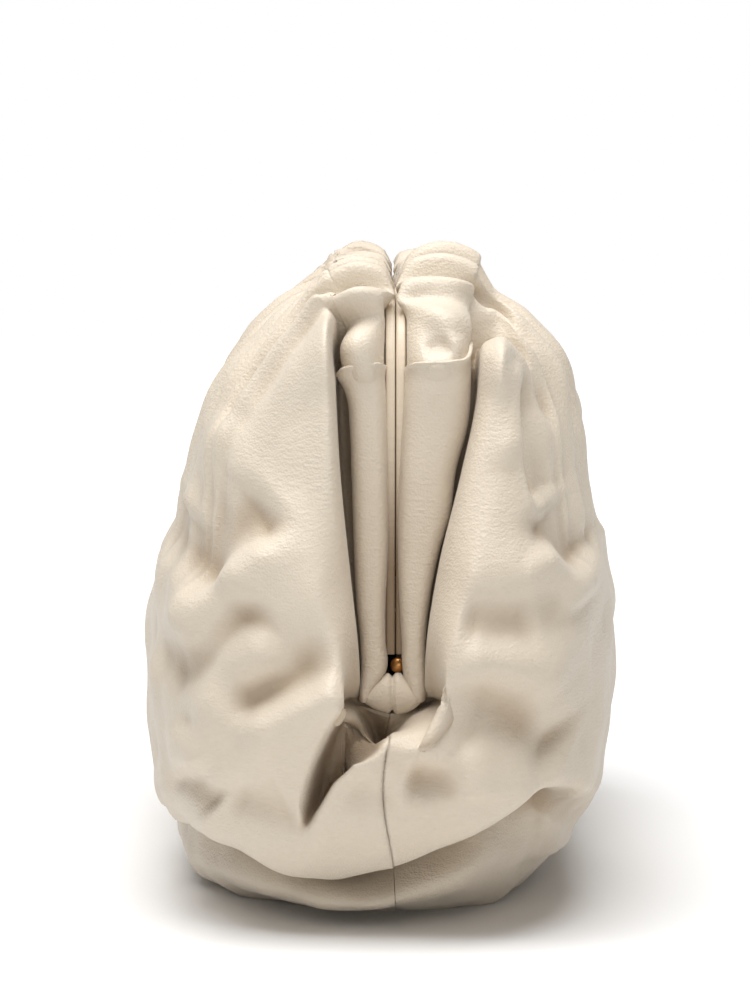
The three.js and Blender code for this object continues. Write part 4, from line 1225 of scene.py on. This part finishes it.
# Floor, light and camera. The floor turns to plain white a little way round the bag, a large soft box hangs
# over it with two weak ones in front, and a long lens looks at the near end from a little above.
floor_mesh = bpy.data.meshes.new("floor")
floor_mesh.from_pydata([(-4, -4, 0), (4, -4, 0), (4, 4, 0), (-4, 4, 0)], [], [(0, 1, 2, 3)])
floor = bpy.data.objects.new("floor", floor_mesh)
scene.collection.objects.link(floor)
floor_material = bpy.data.materials.new("white_floor")
floor_material.use_nodes = True
principled(floor_material).inputs["Base Color"].default_value = (0.86, 0.855, 0.85, 1)
principled(floor_material).inputs["Roughness"].default_value = 0.8
floor_nodes, floor_links = floor_material.node_tree.nodes, floor_material.node_tree.links
from_bag = floor_nodes.new("ShaderNodeTexCoord")
away = floor_nodes.new("ShaderNodeVectorMath")
away.operation = "LENGTH"
squeezed = floor_nodes.new("ShaderNodeMapping")
squeezed.inputs["Scale"].default_value = (2.1, 1, 1)
floor_links.new(from_bag.outputs["Object"], squeezed.inputs["Vector"])
floor_links.new(squeezed.outputs["Vector"], away.inputs[0])
far_share = floor_nodes.new("ShaderNodeMapRange")
far_share.interpolation_type = "SMOOTHSTEP"
far_share.inputs["From Min"].default_value = 0.23
far_share.inputs["From Max"].default_value = 0.42
floor_links.new(away.outputs["Value"], far_share.inputs["Value"])
glow = floor_nodes.new("ShaderNodeEmission")
glow.inputs["Strength"].default_value = 1.15
blend = floor_nodes.new("ShaderNodeMixShader")
floor_links.new(far_share.outputs["Result"], blend.inputs["Fac"])
floor_links.new(principled(floor_material).outputs["BSDF"], blend.inputs[1])
floor_links.new(glow.outputs["Emission"], blend.inputs[2])
floor_links.new(blend.outputs["Shader"], floor_nodes["Material Output"].inputs["Surface"])
floor_mesh.materials.append(floor_material)

AMBIENT = 0.22
world = bpy.data.worlds.new("studio")
world.use_nodes = True
scene.world = world
backdrop = world.node_tree.nodes["Background"]
backdrop.inputs["Color"].default_value = (1, 1, 1, 1)
seen = world.node_tree.nodes.new("ShaderNodeLightPath")
strength = world.node_tree.nodes.new("ShaderNodeMapRange")
strength.inputs["To Min"].default_value = AMBIENT
strength.inputs["To Max"].default_value = 1
world.node_tree.links.new(seen.outputs["Is Camera Ray"], strength.inputs["Value"])
world.node_tree.links.new(strength.outputs["Result"], backdrop.inputs["Strength"])


def soft_light(name, place, size, power):
    """A square soft box that faces the bag."""
    light = bpy.data.lights.new(name, "AREA")
    light.size = size
    light.energy = power
    lamp = bpy.data.objects.new(name, light)
    scene.collection.objects.link(lamp)
    lamp.location = place
    lamp.rotation_euler = (Vector(place) - Vector((0, 0, 0.1))).to_track_quat("Z", "Y").to_euler()


soft_light("overhead", (-0.15, -0.35, 2.0), 1.7, 62)
soft_light("front_top", (-0.5, -1.3, 1.0), 0.8, 1.5)
soft_light("front_low", (0.2, -2.0, 0.15), 0.7, 5)

CAMERA_AWAY = 1.5
CAMERA_UP = math.radians(5)
CAMERA_ASIDE = 0.0068
LOOKS_AT_HEIGHT = 0.1303
FOCAL_SHARE = 4.08
SENSOR = 36
camera = bpy.data.cameras.new("camera")
camera.sensor_fit = "VERTICAL"
camera.sensor_height = SENSOR
camera.lens = SENSOR * FOCAL_SHARE
camera_object = bpy.data.objects.new("camera", camera)
scene.collection.objects.link(camera_object)
target = Vector((mouth_x - CAMERA_ASIDE, middle_y, LOOKS_AT_HEIGHT))
back = Vector((0, -math.cos(CAMERA_UP), math.sin(CAMERA_UP)))
camera_object.location = target + CAMERA_AWAY * back
camera_object.rotation_euler = back.to_track_quat("Z", "Y").to_euler()
scene.camera = camera_object
scene.view_settings.view_transform = "Standard"
